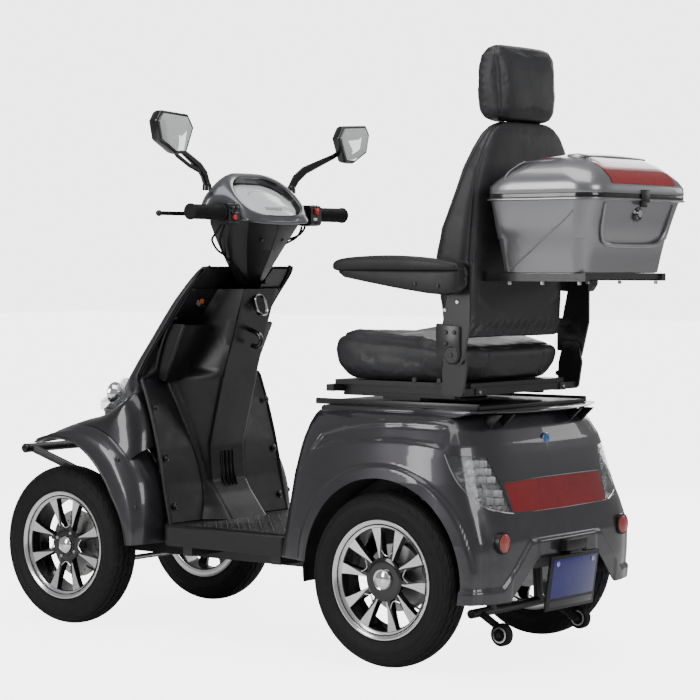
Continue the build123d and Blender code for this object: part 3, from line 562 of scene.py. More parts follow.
def repeated(name, shape, material, spots, body, *, scale=1.0):
    """Copies of a small shape at spots of (place, facing, spin), made by one Geometry Nodes tree."""
    points = bpy.data.meshes.new(name + "_spots")
    points.from_pydata([tuple(s[0]) for s in spots], [], [])
    turns = points.attributes.new("turn", "FLOAT_VECTOR", "POINT")
    for k, (_, facing, along) in enumerate(spots):
        turns.data[k].vector = facing_turn(facing, along)
    holder = bpy.data.objects.new(name + "_spots", points)
    bpy.context.scene.collection.objects.link(holder)
    unit = bpy.data.objects.new(name + "_unit", shape)
    bpy.context.scene.collection.objects.link(unit)

    tree = bpy.data.node_groups.new(name + "_rule", "GeometryNodeTree")
    face = tree.interface
    face.new_socket("Geometry", in_out="INPUT", socket_type="NodeSocketGeometry")
    face.new_socket("Geometry", in_out="OUTPUT", socket_type="NodeSocketGeometry")
    size = face.new_socket("Unit size", in_out="INPUT", socket_type="NodeSocketFloat")
    unit_in = face.new_socket("Unit", in_out="INPUT", socket_type="NodeSocketObject")
    finish = face.new_socket("Finish", in_out="INPUT", socket_type="NodeSocketMaterial")
    new, link = tree.nodes.new, tree.links.new
    start, end = new("NodeGroupInput"), new("NodeGroupOutput")
    source, copies = new("GeometryNodeObjectInfo"), new("GeometryNodeInstanceOnPoints")
    turn = new("GeometryNodeInputNamedAttribute")
    turn.data_type = "FLOAT_VECTOR"
    turn.inputs["Name"].default_value = "turn"
    to_rotation = new("FunctionNodeEulerToRotation")
    real, painted = new("GeometryNodeRealizeInstances"), new("GeometryNodeSetMaterial")
    link(start.outputs["Geometry"], copies.inputs["Points"])
    link(start.outputs["Unit"], source.inputs["Object"])
    link(source.outputs["Geometry"], copies.inputs["Instance"])
    link(turn.outputs["Attribute"], to_rotation.inputs[0])
    link(to_rotation.outputs[0], copies.inputs["Rotation"])
    link(start.outputs["Unit size"], copies.inputs["Scale"])
    link(copies.outputs[0], real.inputs[0])
    link(real.outputs[0], painted.inputs["Geometry"])
    link(start.outputs["Finish"], painted.inputs["Material"])
    link(painted.outputs[0], end.inputs[0])

    rule = holder.modifiers.new("rule", "NODES")
    rule.node_group = tree
    rule[size.identifier] = scale
    rule[unit_in.identifier] = unit
    rule[finish.identifier] = material
    mesh = evaluated(holder)
    holder.modifiers.remove(rule)
    bpy.data.objects.remove(holder)
    bpy.data.objects.remove(unit)
    if "turn" in mesh.attributes:
        mesh.attributes.remove(mesh.attributes["turn"])
    piece = finished(name, mesh, material, body, smooth=35)
    return piece


def screw_head(radius, height):
    """A pan-head screw with a cross recess, facing +Z, of a few dozen faces."""
    bm = bmesh.new()
    steps = 16
    rings = [(radius, 0), (radius, height * 0.45), (radius * 0.72, height * 0.92), (radius * 0.5, height)]
    rows = [[(r * cos(2 * pi * k / steps), r * sin(2 * pi * k / steps), z) for k in range(steps)] for r, z in rings]
    floor = []
    for k in range(steps):
        reach = radius * (0.42 if k % 4 == 0 else 0.14)
        floor.append((reach * cos(2 * pi * k / steps), reach * sin(2 * pi * k / steps), height))
    rows.append(floor)
    rows.append([(x * 0.9, y * 0.9, height * 0.4) for x, y, _ in floor])
    loft([[Vector(p) for p in row] for row in rows], bm=bm)
    mesh = bpy.data.meshes.new("screw")
    outward(bm).to_mesh(mesh)
    bm.free()
    return mesh


def stitch_unit(length, radius):
    """One stitch lying along X, a flattened bead."""
    bm = bmesh.new()
    rings = []
    for t, s in ((-0.5, 0.25), (-0.3, 0.9), (0, 1.0), (0.3, 0.9), (0.5, 0.25)):
        rings.append([(t * length, s * radius * cos(2 * pi * k / 6), s * radius * 0.7 * sin(2 * pi * k / 6))
                      for k in range(6)])
    loft(rings, bm=bm)
    mesh = bpy.data.meshes.new("stitch")
    outward(bm).to_mesh(mesh)
    bm.free()
    return mesh


# ---------------------------------------------------------------- padded goods
def between(table, at):
    """A value read from a table of (position, value, ...) rows, smoothly between its rows."""
    if at <= table[0][0]:
        return table[0][1:]
    for low, high in zip(table, table[1:]):
        if at <= high[0]:
            t = (at - low[0]) / (high[0] - low[0])
            t = t * t * (3 - 2 * t) if len(table) < 4 else t
            return tuple(a + (b - a) * t for a, b in zip(low[1:], high[1:]))
    return table[-1][1:]


def squarish(middle, half, power, steps):
    """A rounded rectangle about a middle point, as (a, b) pairs."""
    ring = []
    for k in range(steps):
        c, s = cos(2 * pi * k / steps), sin(2 * pi * k / steps)
        ring.append((middle[0] + half[0] * (abs(c) ** (2 / power)) * (1 if c > 0 else -1),
                     middle[1] + half[1] * (abs(s) ** (2 / power)) * (1 if s > 0 else -1)))
    return ring


def swollen(mesh, voxel, pressure, cap, flat_below=None):
    """A padded form: remeshed evenly, blown up as cloth, capped, and subdivided once."""
    blank = bpy.data.objects.new("padding", mesh)
    bpy.context.scene.collection.objects.link(blank)
    remesh = blank.modifiers.new("even", "REMESH")
    remesh.mode, remesh.voxel_size, remesh.use_smooth_shade = "VOXEL", voxel, True
    blank.data = evaluated(blank)
    blank.modifiers.clear()
    rest = [v.co.copy() for v in blank.data.vertices]
    if flat_below is not None:
        held = blank.vertex_groups.new(name="held")
        held.add([k for k, co in enumerate(rest) if co.z < flat_below], 1.0, "REPLACE")
    cover = blank.modifiers.new("cover", "CLOTH")
    cloth = cover.settings
    cloth.quality, cloth.mass, cloth.time_scale = 5, 0.35, 1.0
    cloth.tension_stiffness = cloth.compression_stiffness = 12
    cloth.shear_stiffness, cloth.bending_stiffness = 6, 0.4
    cloth.use_pressure, cloth.uniform_pressure_force = True, pressure
    cloth.effector_weights.gravity = 0
    if flat_below is not None:
        cloth.vertex_group_mass = "held"
    cover.collision_settings.use_self_collision = False
    scene = bpy.context.scene
    cover.point_cache.frame_start, cover.point_cache.frame_end = 1, 20
    for number in range(1, 21):
        scene.frame_set(number)
    blown = evaluated(blank)
    blank.modifiers.clear()
    for vert, was in zip(blown.vertices, rest):
        shift = vert.co - was
        if shift.length > cap:
            vert.co = was + shift * (cap / shift.length)
    blank.data = blown
    scene.frame_set(1)
    fine = blank.modifiers.new("fine", "SUBSURF")
    fine.levels = fine.render_levels = 1
    result = evaluated(blank)
    bpy.data.objects.remove(blank)
    return result


def sculpted(mesh, push):
    """Moves every point along its normal by push(point, normal)."""
    normals = [v.normal.copy() for v in mesh.vertices]
    for vert, normal in zip(mesh.vertices, normals):
        vert.co += normal * push(vert.co, normal)
    mesh.update()
    return mesh


def dent(distance, width, depth):
    return -depth * 2.718 ** (-(distance / width) ** 2)


def seam_path(mesh, y_at, half_z, middle_z, count, reach=0.6):
    """Points where a seam runs over a pad: up one side, over the top and down the other."""
    from mathutils.bvhtree import BVHTree
    bm = bmesh.new()
    bm.from_mesh(mesh)
    tree = BVHTree.FromBMesh(bm)
    bm.free()
    path = []
    for k in range(count):
        angle = radians(-52) + radians(284) * k / (count - 1)
        aim = Vector((cos(angle), 0, sin(angle) * half_z))
        start = Vector((0, 0, middle_z)) + aim * reach
        start.y = y_at(middle_z + aim.z * 0.25)
        hit = None
        for _ in range(3):
            hit, normal, _index, _far = tree.ray_cast(start, -Vector((aim.x, 0, aim.z)).normalized())
            if hit is None:
                break
            start.y = y_at(hit.z)
        if hit is not None:
            path.append((hit, normal))
    return path


def stitched(name, path, body, lift=0.0002, pitch=0.0065, length=0.0045, radius=0.0006):
    """A row of stitches along a path of (point, normal) pairs."""
    spots, travelled, goal = [], 0.0, 0.0
    for (a, na), (b, _nb) in zip(path, path[1:]):
        step = (b - a).length
        if step > 0.05 or step < 1e-6:
            travelled = goal = 0.0
            continue
        while goal <= travelled + step:
            spots.append((a.lerp(b, (goal - travelled) / step) + na * lift, na, (b - a).normalized()))
            goal += pitch
        travelled += step
    return repeated(name, stitch_unit(length, radius), THREAD, spots, body)


THREAD = rubber("black_thread", 0.2)

CUSHION_LEVELS = [  # height, half width, front, rear, corner power
    (0.6665, 0.196, 0.172, 0.520, 5.0),
    (0.676, 0.216, 0.150, 0.538, 5.0),
    (0.700, 0.228, 0.136, 0.549, 5.5),
    (0.730, 0.232, 0.131, 0.552, 6.0),
    (0.748, 0.229, 0.136, 0.550, 6.0),
    (0.760, 0.216, 0.152, 0.538, 5.5),
    (0.766, 0.196, 0.176, 0.516, 5.0),
]


def make_seat_cushion():
    rings = []
    for z, half, front, rear, power in CUSHION_LEVELS:
        ring = squarish((0, (front + rear) / 2), (half, (rear - front) / 2), power, 64)
        rings.append([(x, y, z + max(0.0, z - 0.7) * crown_of_cushion(x, y)) for x, y in ring])
    mesh = swollen(solid(outward(loft(rings))), 0.0062, 3.0, 0.0040, flat_below=0.672)

    def push(at, normal):
        move = 0.0
        side = hypot(max(0.0, abs(at.x) - 0.15), max(0.0, abs(at.y - 0.342) - 0.13))
        if normal.z > 0.25:
            move += dent(side - 0.058, 0.0035, 0.0028)
        elif at.z < 0.745 and at.y > 0.5:
            move += dent(abs(at.x) - 0.118, 0.003, 0.0022)
        if normal.z > 0.8:
            for line in (0.24, 0.33, 0.42):
                move += dent(at.y - line - 0.1 * at.x * at.x, 0.0035, 0.0018) * (1 if abs(at.x) < 0.165 else 0)
            move += 0.0007 * sin(at.x * 90 + 3 * sin(at.y * 40)) * max(0.0, abs(at.y - 0.342) - 0.1) * 8
        return move + 0.0009 * sin(at.x * 33 + at.z * 60) * sin(at.y * 29) * (1 - abs(normal.z))

    mesh = sculpted(mesh, push)
    piece = finished("seat_cushion_cover", mesh, LEATHER, "seat", stands_for=["seat_cushion"],
                     slot="black_leatherette", smooth=60)


def crown_of_cushion(x, y):
    """How far the cushion's top rises: a roll at the front, a dip where the rider sits, low at the back."""
    front_roll = 2.718 ** (-((y - 0.21) / 0.075) ** 2) * 0.16
    bolster = 2.718 ** (-((abs(x) - 0.19) / 0.05) ** 2) * 0.12
    back_drop = -0.26 * min(1.0, max(0.0, (y - 0.40) / 0.1))
    return front_roll + bolster * (1 if y < 0.42 else 0.4) + back_drop


BACK_LEVELS = [  # height, half width, front, rear
    (0.7705, 0.204, 0.474, 0.547),
    (0.790, 0.213, 0.465, 0.551),
    (0.866, 0.217, 0.452, 0.556),
    (0.960, 0.217, 0.442, 0.561),
    (1.030, 0.217, 0.458, 0.568),
    (1.116, 0.214, 0.498, 0.578),
    (1.170, 0.203, 0.514, 0.582),
    (1.220, 0.178, 0.526, 0.583),
    (1.255, 0.150, 0.533, 0.583),
    (1.274, 0.122, 0.539, 0.581),
    (1.283, 0.092, 0.546, 0.577),
]


def make_backrest_cushion():
    rings = []
    for z, half, front, rear in BACK_LEVELS:
        ring = squarish((0, (front + rear) / 2), (half, (rear - front) / 2), 5.0, 72)
        shaped = []
        for x, y in ring:
            across = min(1.0, abs(x) / half)
            if y < (front + rear) / 2:
                y += 0.020 * max(0.0, 1 - (across / 0.62) ** 2) * min(1.0, max(0.0, (1.2 - z) / 0.1))
            shaped.append((x, y, z))
        rings.append(shaped)
    mesh = swollen(solid(outward(loft(rings))), 0.0062, 3.0, 0.0030, flat_below=0.775)

    def rear_at(z):
        return between(BACK_LEVELS, z)[2] - 0.008

    def front_at(z):
        return between(BACK_LEVELS, z)[1] + 0.022

    def push(at, normal):
        move = 0.0
        if abs(normal.y) < 0.93:
            move += dent(at.y - rear_at(at.z) + 0.004, 0.0028, 0.003)
            move += dent(at.y - front_at(at.z), 0.003, 0.0026)
        if normal.y > 0.6 and at.z < 0.815:
            fade = min(1.0, (0.815 - at.z) / 0.02) * min(1.0, max(0.0, (at.z - 0.772) / 0.006))
            move += 0.0026 * sin((at.x + (at.z - 0.79) * 0.9) * 210) * fade
            move += dent(at.z - 0.781, 0.003, 0.0025)
        if normal.y < -0.5:
            for line in (0.86, 0.95, 1.04):
                move += dent(at.z - line, 0.004, 0.002) * (1 if abs(at.x) < 0.13 else 0)
            move += dent(abs(at.x) - 0.135, 0.0035, 0.0026) * (1 if at.z < 1.15 else 0)
        loose = sin(at.x * 17 + at.z * 9) * sin(at.z * 23 + at.x * 6)
        crease = 2.718 ** (-(((at.z - 0.80) - 0.55 * (abs(at.x) - 0.05)) / 0.012) ** 2)
        if normal.y > 0.6 and 0.05 < abs(at.x) < 0.17 and at.z < 0.9:
            move += 0.0016 * crease
        return move + 0.0011 * loose

    mesh = sculpted(mesh, push)
    stitched("backrest_rear_seam", seam_path(mesh, lambda z: rear_at(z) - 0.004 - 0.0035, 1.25, 1.02, 420),
             "backrest")
    stitched("backrest_front_seam", seam_path(mesh, lambda z: front_at(z) + 0.0035, 1.25, 1.02, 420), "backrest")
    piece = finished("backrest_cover", mesh, LEATHER, "backrest", stands_for=["backrest_cushion"],
                     slot="black_leatherette", smooth=60)


HEAD_LEVELS = [  # height, half width, front, rear
    (1.283, 0.090, 0.524, 0.576),
    (1.289, 0.108, 0.512, 0.584),
    (1.306, 0.120, 0.503, 0.590),
    (1.346, 0.126, 0.499, 0.592),
    (1.403, 0.128, 0.503, 0.589),
    (1.437, 0.126, 0.514, 0.583),
    (1.455, 0.113, 0.528, 0.575),
    (1.4625, 0.092, 0.539, 0.565),
]


def make_headrest():
    rings = []
    for z, half, front, rear in HEAD_LEVELS:
        ring = squarish((0, (front + rear) / 2), (half, (rear - front) / 2), 4.2, 60)
        rings.append([(x, y, z) for x, y in ring])
    mesh = swollen(solid(outward(loft(rings))), 0.005, 3.0, 0.0018)

    def rear_at(z):
        return between(HEAD_LEVELS, z)[2] - 0.016

    def front_at(z):
        return between(HEAD_LEVELS, z)[1] + 0.016

    def push(at, normal):
        move = 0.0
        if abs(normal.y) < 0.94:
            move += dent(at.y - rear_at(at.z), 0.0024, 0.0026)
            move += dent(at.y - front_at(at.z), 0.0026, 0.0024)
        near_front = 2.718 ** (-((at.y - front_at(at.z) - 0.006) / 0.012) ** 2)
        if abs(normal.x) > 0.5:
            move += 0.0013 * near_front * sin(at.z * 330)
        return move + 0.0006 * sin(at.x * 40 + at.z * 25) * sin(at.z * 37)

    mesh = sculpted(mesh, push)
    stitched("headrest_rear_seam", seam_path(mesh, lambda z: rear_at(z) - 0.0035, 1.0, 1.385, 260, 0.3), "headrest")
    bm = joined(*(tube([(x, 0.55, 1.171), (x, 0.55, 1.2), (x, 0.55, 1.315)], 0.006) for x in (-0.06, 0.06)))
    finished("headrest_posts", bm, CHROME, "headrest")
    piece = finished("headrest_cover", mesh, LEATHER, "headrest", stands_for=["headrest"],
                     slot="black_leatherette", smooth=60)


def armrest_section(y):
    """Half width, low and high of the arm pad at a place along it, and its middle line."""
    table = [
        (0.2225, 0.010, 0.934, 0.942), (0.227, 0.019, 0.929, 0.9505), (0.240, 0.0245, 0.9265, 0.9565),
        (0.270, 0.0265, 0.9265, 0.9610), (0.330, 0.027, 0.9268, 0.9640), (0.400, 0.027, 0.9268, 0.9655),
        (0.480, 0.026, 0.9268, 0.9610), (0.540, 0.0245, 0.9268, 0.9545), (0.575, 0.0225, 0.9268, 0.9495),
        (0.590, 0.0175, 0.9285, 0.9430),
    ]
    return between(table, y), [row[0] for row in table]


def make_armrests():
    """A skinned foam pad over a moulded arm with a pivot boss and bolt heads."""
    _, stations = armrest_section(0.3)
    rings = []
    for y in stations:
        half, low, high = armrest_section(y)[0]
        ring = squarish((0.2905, (low + high) / 2), (half, (high - low) / 2), 3.0, 24)
        rings.append([(x, y, z) for x, z in ring])
    pad = outward(loft([[Vector(p) for p in r] for r in rings]))
    pad_left = solid(pad, levels=2)

    rim = []
    for y, half, low, high in ((0.243, 0.017, 0.922, 0.9315), (0.26, 0.021, 0.912, 0.9315),
                               (0.33, 0.022, 0.900, 0.9315), (0.42, 0.022, 0.886, 0.9315),
                               (0.50, 0.022, 0.8755, 0.9315), (0.55, 0.021, 0.872, 0.9315),
                               (0.576, 0.019, 0.876, 0.9315), (0.588, 0.014, 0.890, 0.9315)):
        ring = squarish((0.2885, (low + high) / 2), (half, (high - low) / 2), 4.5, 24)
        rim.append([Vector((x, y, z)) for x, z in ring])
    arm = joined(outward(loft(rim)), turned([(-0.037, 0.001), (-0.037, 0.008), (-0.02, 0.008), (-0.02, 0.001)],
                                            (0.289, 0.565, 0.93), 32),
                 turned([(-0.024, 0.001), (-0.024, 0.021), (-0.018, 0.023), (-0.012, 0.021), (-0.012, 0.001)],
                        (0.289, 0.568, 0.905), 48))
    arm_left = solid(arm, bevel=0.0015)
    for side, flip in (("left", False), ("right", True)):
        pad_mesh = mirrored_mesh(pad_left) if flip else pad_left
        arm_mesh = mirrored_mesh(arm_left) if flip else arm_left
        body = "armrest_" + side
        finished("arm_" + side, arm_mesh, GRAINED, body, stands_for=[body])
        pad_piece = finished("arm_pad_" + side, pad_mesh, URETHANE, body, slot="black_urethane", smooth=60)
        x = -0.3105 if flip else 0.3105
        facing = (-1, 0, 0) if flip else (1, 0, 0)
        spots = [((x, 0.535, 0.893), facing, 0.3), ((x, 0.47, 0.897), facing, 1.1)]
        repeated("arm_bolts_" + side, screw_head(0.0055, 0.003), BLACK_STEEL, spots, body)


make_seat_cushion()
make_backrest_cushion()
make_headrest()
make_armrests()


# ---------------------------------------------------------------- wheels
TYRE_RADIUS = 0.208
WHEELS = [  # name, body, centre x, centre y, spoke pairs, metal
    ("front_left", "front_wheel_left", FRONT_WHEEL_X, AXLE_FRONT, 4, FRONT_ALLOY),
    ("front_right", "front_wheel_right", -FRONT_WHEEL_X, AXLE_FRONT, 4, FRONT_ALLOY),
    ("rear_left", "rear_wheel_left", REAR_WHEEL_X, AXLE_REAR, 5, REAR_ALLOY),
    ("rear_right", "rear_wheel_right", -REAR_WHEEL_X, AXLE_REAR, 5, REAR_ALLOY),
]


def tread_height(across):
    """The tread's radius at a distance across the tyre."""
    return TYRE_RADIUS - 6.2 * across * across - 2300 * abs(across) ** 4


def tyre_profile():
    """The carcass: bead, sidewall with two raised rings, shoulder, and the floor of the tread grooves."""
    half = [
        (0.0335, 0.128), (0.0337, 0.1415), (0.0368, 0.1446), (0.0372, 0.1462), (0.0384, 0.1475), (0.0389, 0.150),
        (0.0412, 0.1545), (0.0431, 0.1595), (0.0444, 0.1655), (0.0445, 0.168), (0.0449, 0.1686), (0.0448, 0.1704),
        (0.0443, 0.1712), (0.0436, 0.1765), (0.0426, 0.1815), (0.0424, 0.1828), (0.0427, 0.1836),
        (0.0421, 0.1852), (0.0413, 0.1862), (0.0398, 0.1905), (0.0375, 0.1935), (0.033, 0.1965), (0.026, 0.1995),
        (0.017, 0.2020), (0.009, 0.2036), (0.0, 0.2042),
    ]
    inner = [(-0.026, 0.128), (-0.0295, 0.165), (-0.026, 0.182), (0.0, 0.194), (0.026, 0.182), (0.0295, 0.165),
             (0.026, 0.128)]
    right = [(-x, r) for x, r in half]
    return right + half[-2::-1] + inner[::-1]


def tread_pitch(pitch, groove):
    """One pitch of tread: an inner and a shoulder block each side of the middle rib, cut by swept grooves."""
    bm = bmesh.new()

    def sweep(across):
        return 0.42 * (abs(across) / 0.04) ** 1.4

    for side in (-1, 1):
        rows = ((0.0032, 0.0155, 0.0), (0.0185, 0.0295, 0.0), (0.0315, 0.0418, 0.33))
        for start, stop, late in rows:
            rings = []
            for j in range(4):
                across = side * (start + (stop - start) * j / 3)
                first = sweep(across) + late * pitch
                top, low = tread_height(across), tread_height(across) - 0.0036
                ring = []
                for k in range(4):
                    angle = first + (pitch - groove) * k / 3
                    ring.append((across, top * sin(angle), top * cos(angle)))
                for k in range(3, -1, -1):
                    angle = first + (pitch - groove) * k / 3
                    ring.append((across, low * sin(angle), low * cos(angle)))
                rings.append([Vector(p) for p in ring])
            loft(rings, bm=bm)
    mesh = bpy.data.meshes.new("tread_pitch")
    outward(bm, 1e-7).to_mesh(mesh)
    bm.free()
    return mesh


def around_axle(centre, count, flip, first=0.0):
    """Spots at a wheel's centre, evenly turned about its axle."""
    spots = []
    for k in range(count):
        angle = first + 2 * pi * k / count
        out = Vector((0, sin(angle), cos(angle)))
        spots.append((centre, out, Vector((-1 if flip else 1, 0, 0))))
    return spots


def spoke_body(angle, bm):
    """A tapered spoke with sloping sides, black behind its machined face. Z is outwards from the axle."""
    turn = Matrix.Rotation(angle, 3, "X")
    rings = []
    for radius, half, face, back in ((0.040, 0.0062, 0.0205, 0.004), (0.060, 0.0058, 0.0212, 0.006),
                                     (0.090, 0.0085, 0.0228, 0.010), (0.112, 0.0115, 0.0245, 0.012),
                                     (0.1225, 0.0135, 0.0255, 0.012)):
        section = [(face, -half), (face, half), (back, half + 0.003), (back, -half - 0.003)]
        rings.append([turn @ Vector((x, y, sqrt(radius * radius - y * y))) for x, y in section])
    loft(rings, bm=bm)


def spoke_face(angle, lean, bm):
    """The machined face of a spoke: wide at the rim, drawn out to a thin line along its pair's pocket."""
    turn = Matrix.Rotation(angle, 3, "X")
    rings = []
    for radius, near, far, height in ((0.052, 0.0056, 0.0028, 0.0216), (0.062, 0.0060, 0.0018, 0.0219),
                                      (0.074, 0.0066, -0.0015, 0.0224), (0.090, 0.0080, -0.0058, 0.0234),
                                      (0.108, 0.0104, -0.0104, 0.0248), (0.1225, 0.0130, -0.0130, 0.0261)):
        a, b = sorted((lean * -near, lean * -far))
        section = [(height, a), (height, b), (height - 0.0024, b), (height - 0.0024, a)]
        rings.append([turn @ Vector((x, y, sqrt(radius * radius - y * y))) for x, y in section])
    loft(rings, bm=bm)


def spoke_pair(count, reach):
    """A pair of spokes and the bright U that joins them at the hub, as two meshes: black body and bright face."""
    half_angle = 2 * pi / count * 0.225
    black, bright = bmesh.new(), bmesh.new()
    for lean in (-1, 1):
        spoke_body(lean * half_angle, black)
        spoke_face(lean * half_angle, lean, bright)
    path = []
    for k in range(9):
        t = -1 + 2 * k / 8
        angle = half_angle * t * (0.82 if abs(t) > 0.9 else 0.80)
        radius = reach - 0.013 * (1 - t * t)
        path.append((0.0207, radius * sin(-angle), radius * cos(angle)))
    u_bend = tube(path, 0.0016, 8)
    meshes = []
    for bm in (black, joined(bright, u_bend)):
        mesh = bpy.data.meshes.new("spoke_pair")
        outward(bm).to_mesh(mesh)
        bm.free()
        meshes.append(mesh)
    return meshes


def rim_profile():
    """The lip and barrel, from the outer face round to the inner one."""
    return [
        (0.0372, 0.1415), (0.0384, 0.1400), (0.0384, 0.1380), (0.0374, 0.1364), (0.0362, 0.1342), (0.0346, 0.1318),
        (0.0326, 0.1298), (0.0298, 0.1286), (0.0262, 0.1276), (0.0258, 0.1234), (0.0246, 0.1222),
        (0.0150, 0.1216), (-0.0200, 0.1200), (-0.0372, 0.1226), (-0.0380, 0.1240), (-0.0380, 0.1400),
        (-0.0372, 0.1416), (-0.0337, 0.1416), (-0.0335, 0.1276), (0.0331, 0.1276), (0.0333, 0.1416),
    ]


def flipped_x(mesh, centre_x):
    """A wheel part for the right-hand side, mirrored about its own middle plane."""
    bm = bmesh.new()
    bm.from_mesh(mesh)
    for vert in bm.verts:
        vert.co.x = 2 * centre_x - vert.co.x
    bmesh.ops.reverse_faces(bm, faces=bm.faces)
    bm.to_mesh(mesh)
    bm.free()
    return mesh


def make_wheel(name, body, x, y, pairs, metal):
    centre = (x, y, AXLE_HEIGHT)
    flip = x < 0
    end = name.split("_")[0]

    def placed(bm, material, part, **more):
        mesh = bpy.data.meshes.new(part)
        outward(bm).to_mesh(mesh)
        bm.free()
        if flip:
            flipped_x(mesh, x)
        return finished(f"{name}_{part}", mesh, material, body, **more)

    tyre = turned(tyre_profile(), centre, 144)
    placed(tyre, TYRE, "tyre", stands_for=[f"{end}_tyre_{name.split('_')[1]}"], slot="tyre_rubber", smooth=28)
    count = 40
    pitch = 2 * pi / count
    repeated(f"{name}_tread", tread_pitch(pitch, pitch * 0.12), TYRE, around_axle(centre, count, flip), body)
    rib = turned([(-0.0016, 0.2030), (-0.0016, 0.2078), (0.0016, 0.2078), (0.0016, 0.2030)], centre, 144)
    placed(rib, TYRE, "tread_rib", slot="tyre_rubber")

    placed(turned(rim_profile(), centre, 128), metal, "rim_lip", stands_for=[f"{end}_wheel_{name.split('_')[1]}"],
           slot="alloy_wheel", smooth=30)
    well = [(0.0150, 0.1212), (0.0255, 0.1232), (0.0252, 0.1205), (0.0148, 0.1180), (-0.0200, 0.1165),
            (-0.0365, 0.1190), (-0.0368, 0.1220), (-0.0200, 0.1196)]
    placed(turned(well, centre, 128), GLOSS_BLACK, "rim_well", smooth=30)
    black, bright = spoke_pair(pairs, 0.0690 if end == "rear" else 0.0575)
    spots = around_axle(centre, pairs, flip, 0.12 if end == "rear" else 0.0)
    repeated(f"{name}_spokes", black, GLOSS_BLACK, spots, body)
    repeated(f"{name}_spoke_faces", bright, metal, spots, body)
    if end == "rear":
        disc = [(0.010, 0.0300), (0.0165, 0.0525), (0.0212, 0.0515), (0.0232, 0.0480), (0.0238, 0.0400), (0.0238, 0.0240),
                (0.0150, 0.0240)]
        placed(turned([*disc, disc[0]][:-1], centre, 72), GLOSS_BLACK, "hub_disc", smooth=30)
    hub = [(-0.022, 0.0105), (-0.022, 0.034), (0.004, 0.036), (0.0165, 0.046), (0.0192, 0.0445), (0.0205, 0.040),
           (0.0205, 0.030), (0.0235, 0.0285), (0.0235, 0.0255), (0.0205, 0.0250), (0.0205, 0.0105)]
    placed(turned(hub, centre, 72), GLOSS_BLACK, "hub", smooth=30)
    if end == "rear":
        cap = [(0.021, 0.0012), (0.021, 0.0248), (0.0290, 0.0248), (0.0308, 0.0238), (0.0302, 0.0214),
               (0.0292, 0.0206), (0.0306, 0.0188), (0.0326, 0.0130), (0.0338, 0.0065), (0.0340, 0.0012)]
    else:
        cap = [(0.021, 0.0012), (0.021, 0.0225), (0.0262, 0.0225), (0.0282, 0.0215), (0.0310, 0.0175),
               (0.0336, 0.0110), (0.0348, 0.0050), (0.0349, 0.0012)]
    placed(turned(cap, centre, 72), CHROME, "hub_cap", smooth=50)
    bolts = []
    side = -1 if flip else 1
    for k in range(4):
        angle = 0.5 + 2 * pi * k / 4
        place = Vector((x + side * 0.0198, y + 0.0345 * sin(angle), AXLE_HEIGHT + 0.0345 * cos(angle)))
        bolts.append((place, Vector((side, 0, 0)), angle))
    if end == "front":
        repeated(f"{name}_wheel_bolts", bolt_head(0.0048, 0.004), ZINC, bolts, body)
    valve = [Vector((x + side * 0.020, y + 0.121 * sin(2.1), AXLE_HEIGHT + 0.121 * cos(2.1))),
             Vector((x + side * 0.024, y + 0.112 * sin(2.1), AXLE_HEIGHT + 0.112 * cos(2.1))),
             Vector((x + side * 0.030, y + 0.098 * sin(2.1), AXLE_HEIGHT + 0.098 * cos(2.1)))]
    finished(f"{name}_valve", tube(valve, 0.0026, 12), GRIP_RUBBER, body)
    if end == "front":
        make_brake_disc(name, body, centre, flip)


def bolt_head(radius, height):
    """A hexagon head with a chamfered top, facing +Z."""
    bm = bmesh.new()
    rows = []
    for share, z in ((1.0, 0.0), (1.0, height * 0.75), (0.84, height)):
        rows.append([Vector((share * radius * cos(pi * k / 3), share * radius * sin(pi * k / 3), z))
                     for k in range(6)])
    loft(rows, bm=bm)
    mesh = bpy.data.meshes.new("bolt_head")
    outward(bm).to_mesh(mesh)
    bm.free()
    return mesh


def make_brake_disc(name, body, centre, flip):
    """A drilled disc on its carrier, behind the spokes."""
    ring = [(-0.0258, 0.058), (-0.0258, 0.0878), (-0.0222, 0.0878), (-0.0222, 0.058)]
    carrier = [(-0.0262, 0.0125), (-0.0262, 0.060), (-0.0218, 0.060), (-0.0218, 0.0125)]
    for part, profile, metal in (("brake_disc", ring, ZINC), ("disc_carrier", carrier, CAST_ALLOY)):
        mesh = bpy.data.meshes.new(part)
        outward(turned(profile, centre, 96)).to_mesh(mesh)
        if flip:
            flipped_x(mesh, centre[0])
        finished(f"{name}_{part}", mesh, metal, body)
    side = -1 if flip else 1
    holes = []
    for k in range(36):
        angle = 2 * pi * k / 36
        radius = 0.066 + 0.007 * (k % 3)
        holes.append((Vector((centre[0] - side * 0.0221, centre[1] + radius * sin(angle),
                              centre[2] + radius * cos(angle))), Vector((side, 0, 0)), 0.0))
    repeated(f"{name}_disc_holes", shallow_button(0.0022, 0.0003), GLOSS_BLACK, holes, body)


def shallow_button(radius, height):
    bm = bmesh.new()
    rows = [[Vector((share * radius * cos(2 * pi * k / 12), share * radius * sin(2 * pi * k / 12), z))
             for k in range(12)] for share, z in ((1, -height), (1, height * 0.6), (0.8, height))]
    loft(rows, bm=bm)
    mesh = bpy.data.meshes.new("button")
    outward(bm, 1e-7).to_mesh(mesh)
    bm.free()
    return mesh


for wheel in WHEELS:
    make_wheel(*wheel)


# ---------------------------------------------------------------- rear body
def step(value, low, high):
    """0 below low, 1 above high, smooth between."""
    t = min(1.0, max(0.0, (value - low) / (high - low)))
    return t * t * (3 - 2 * t)


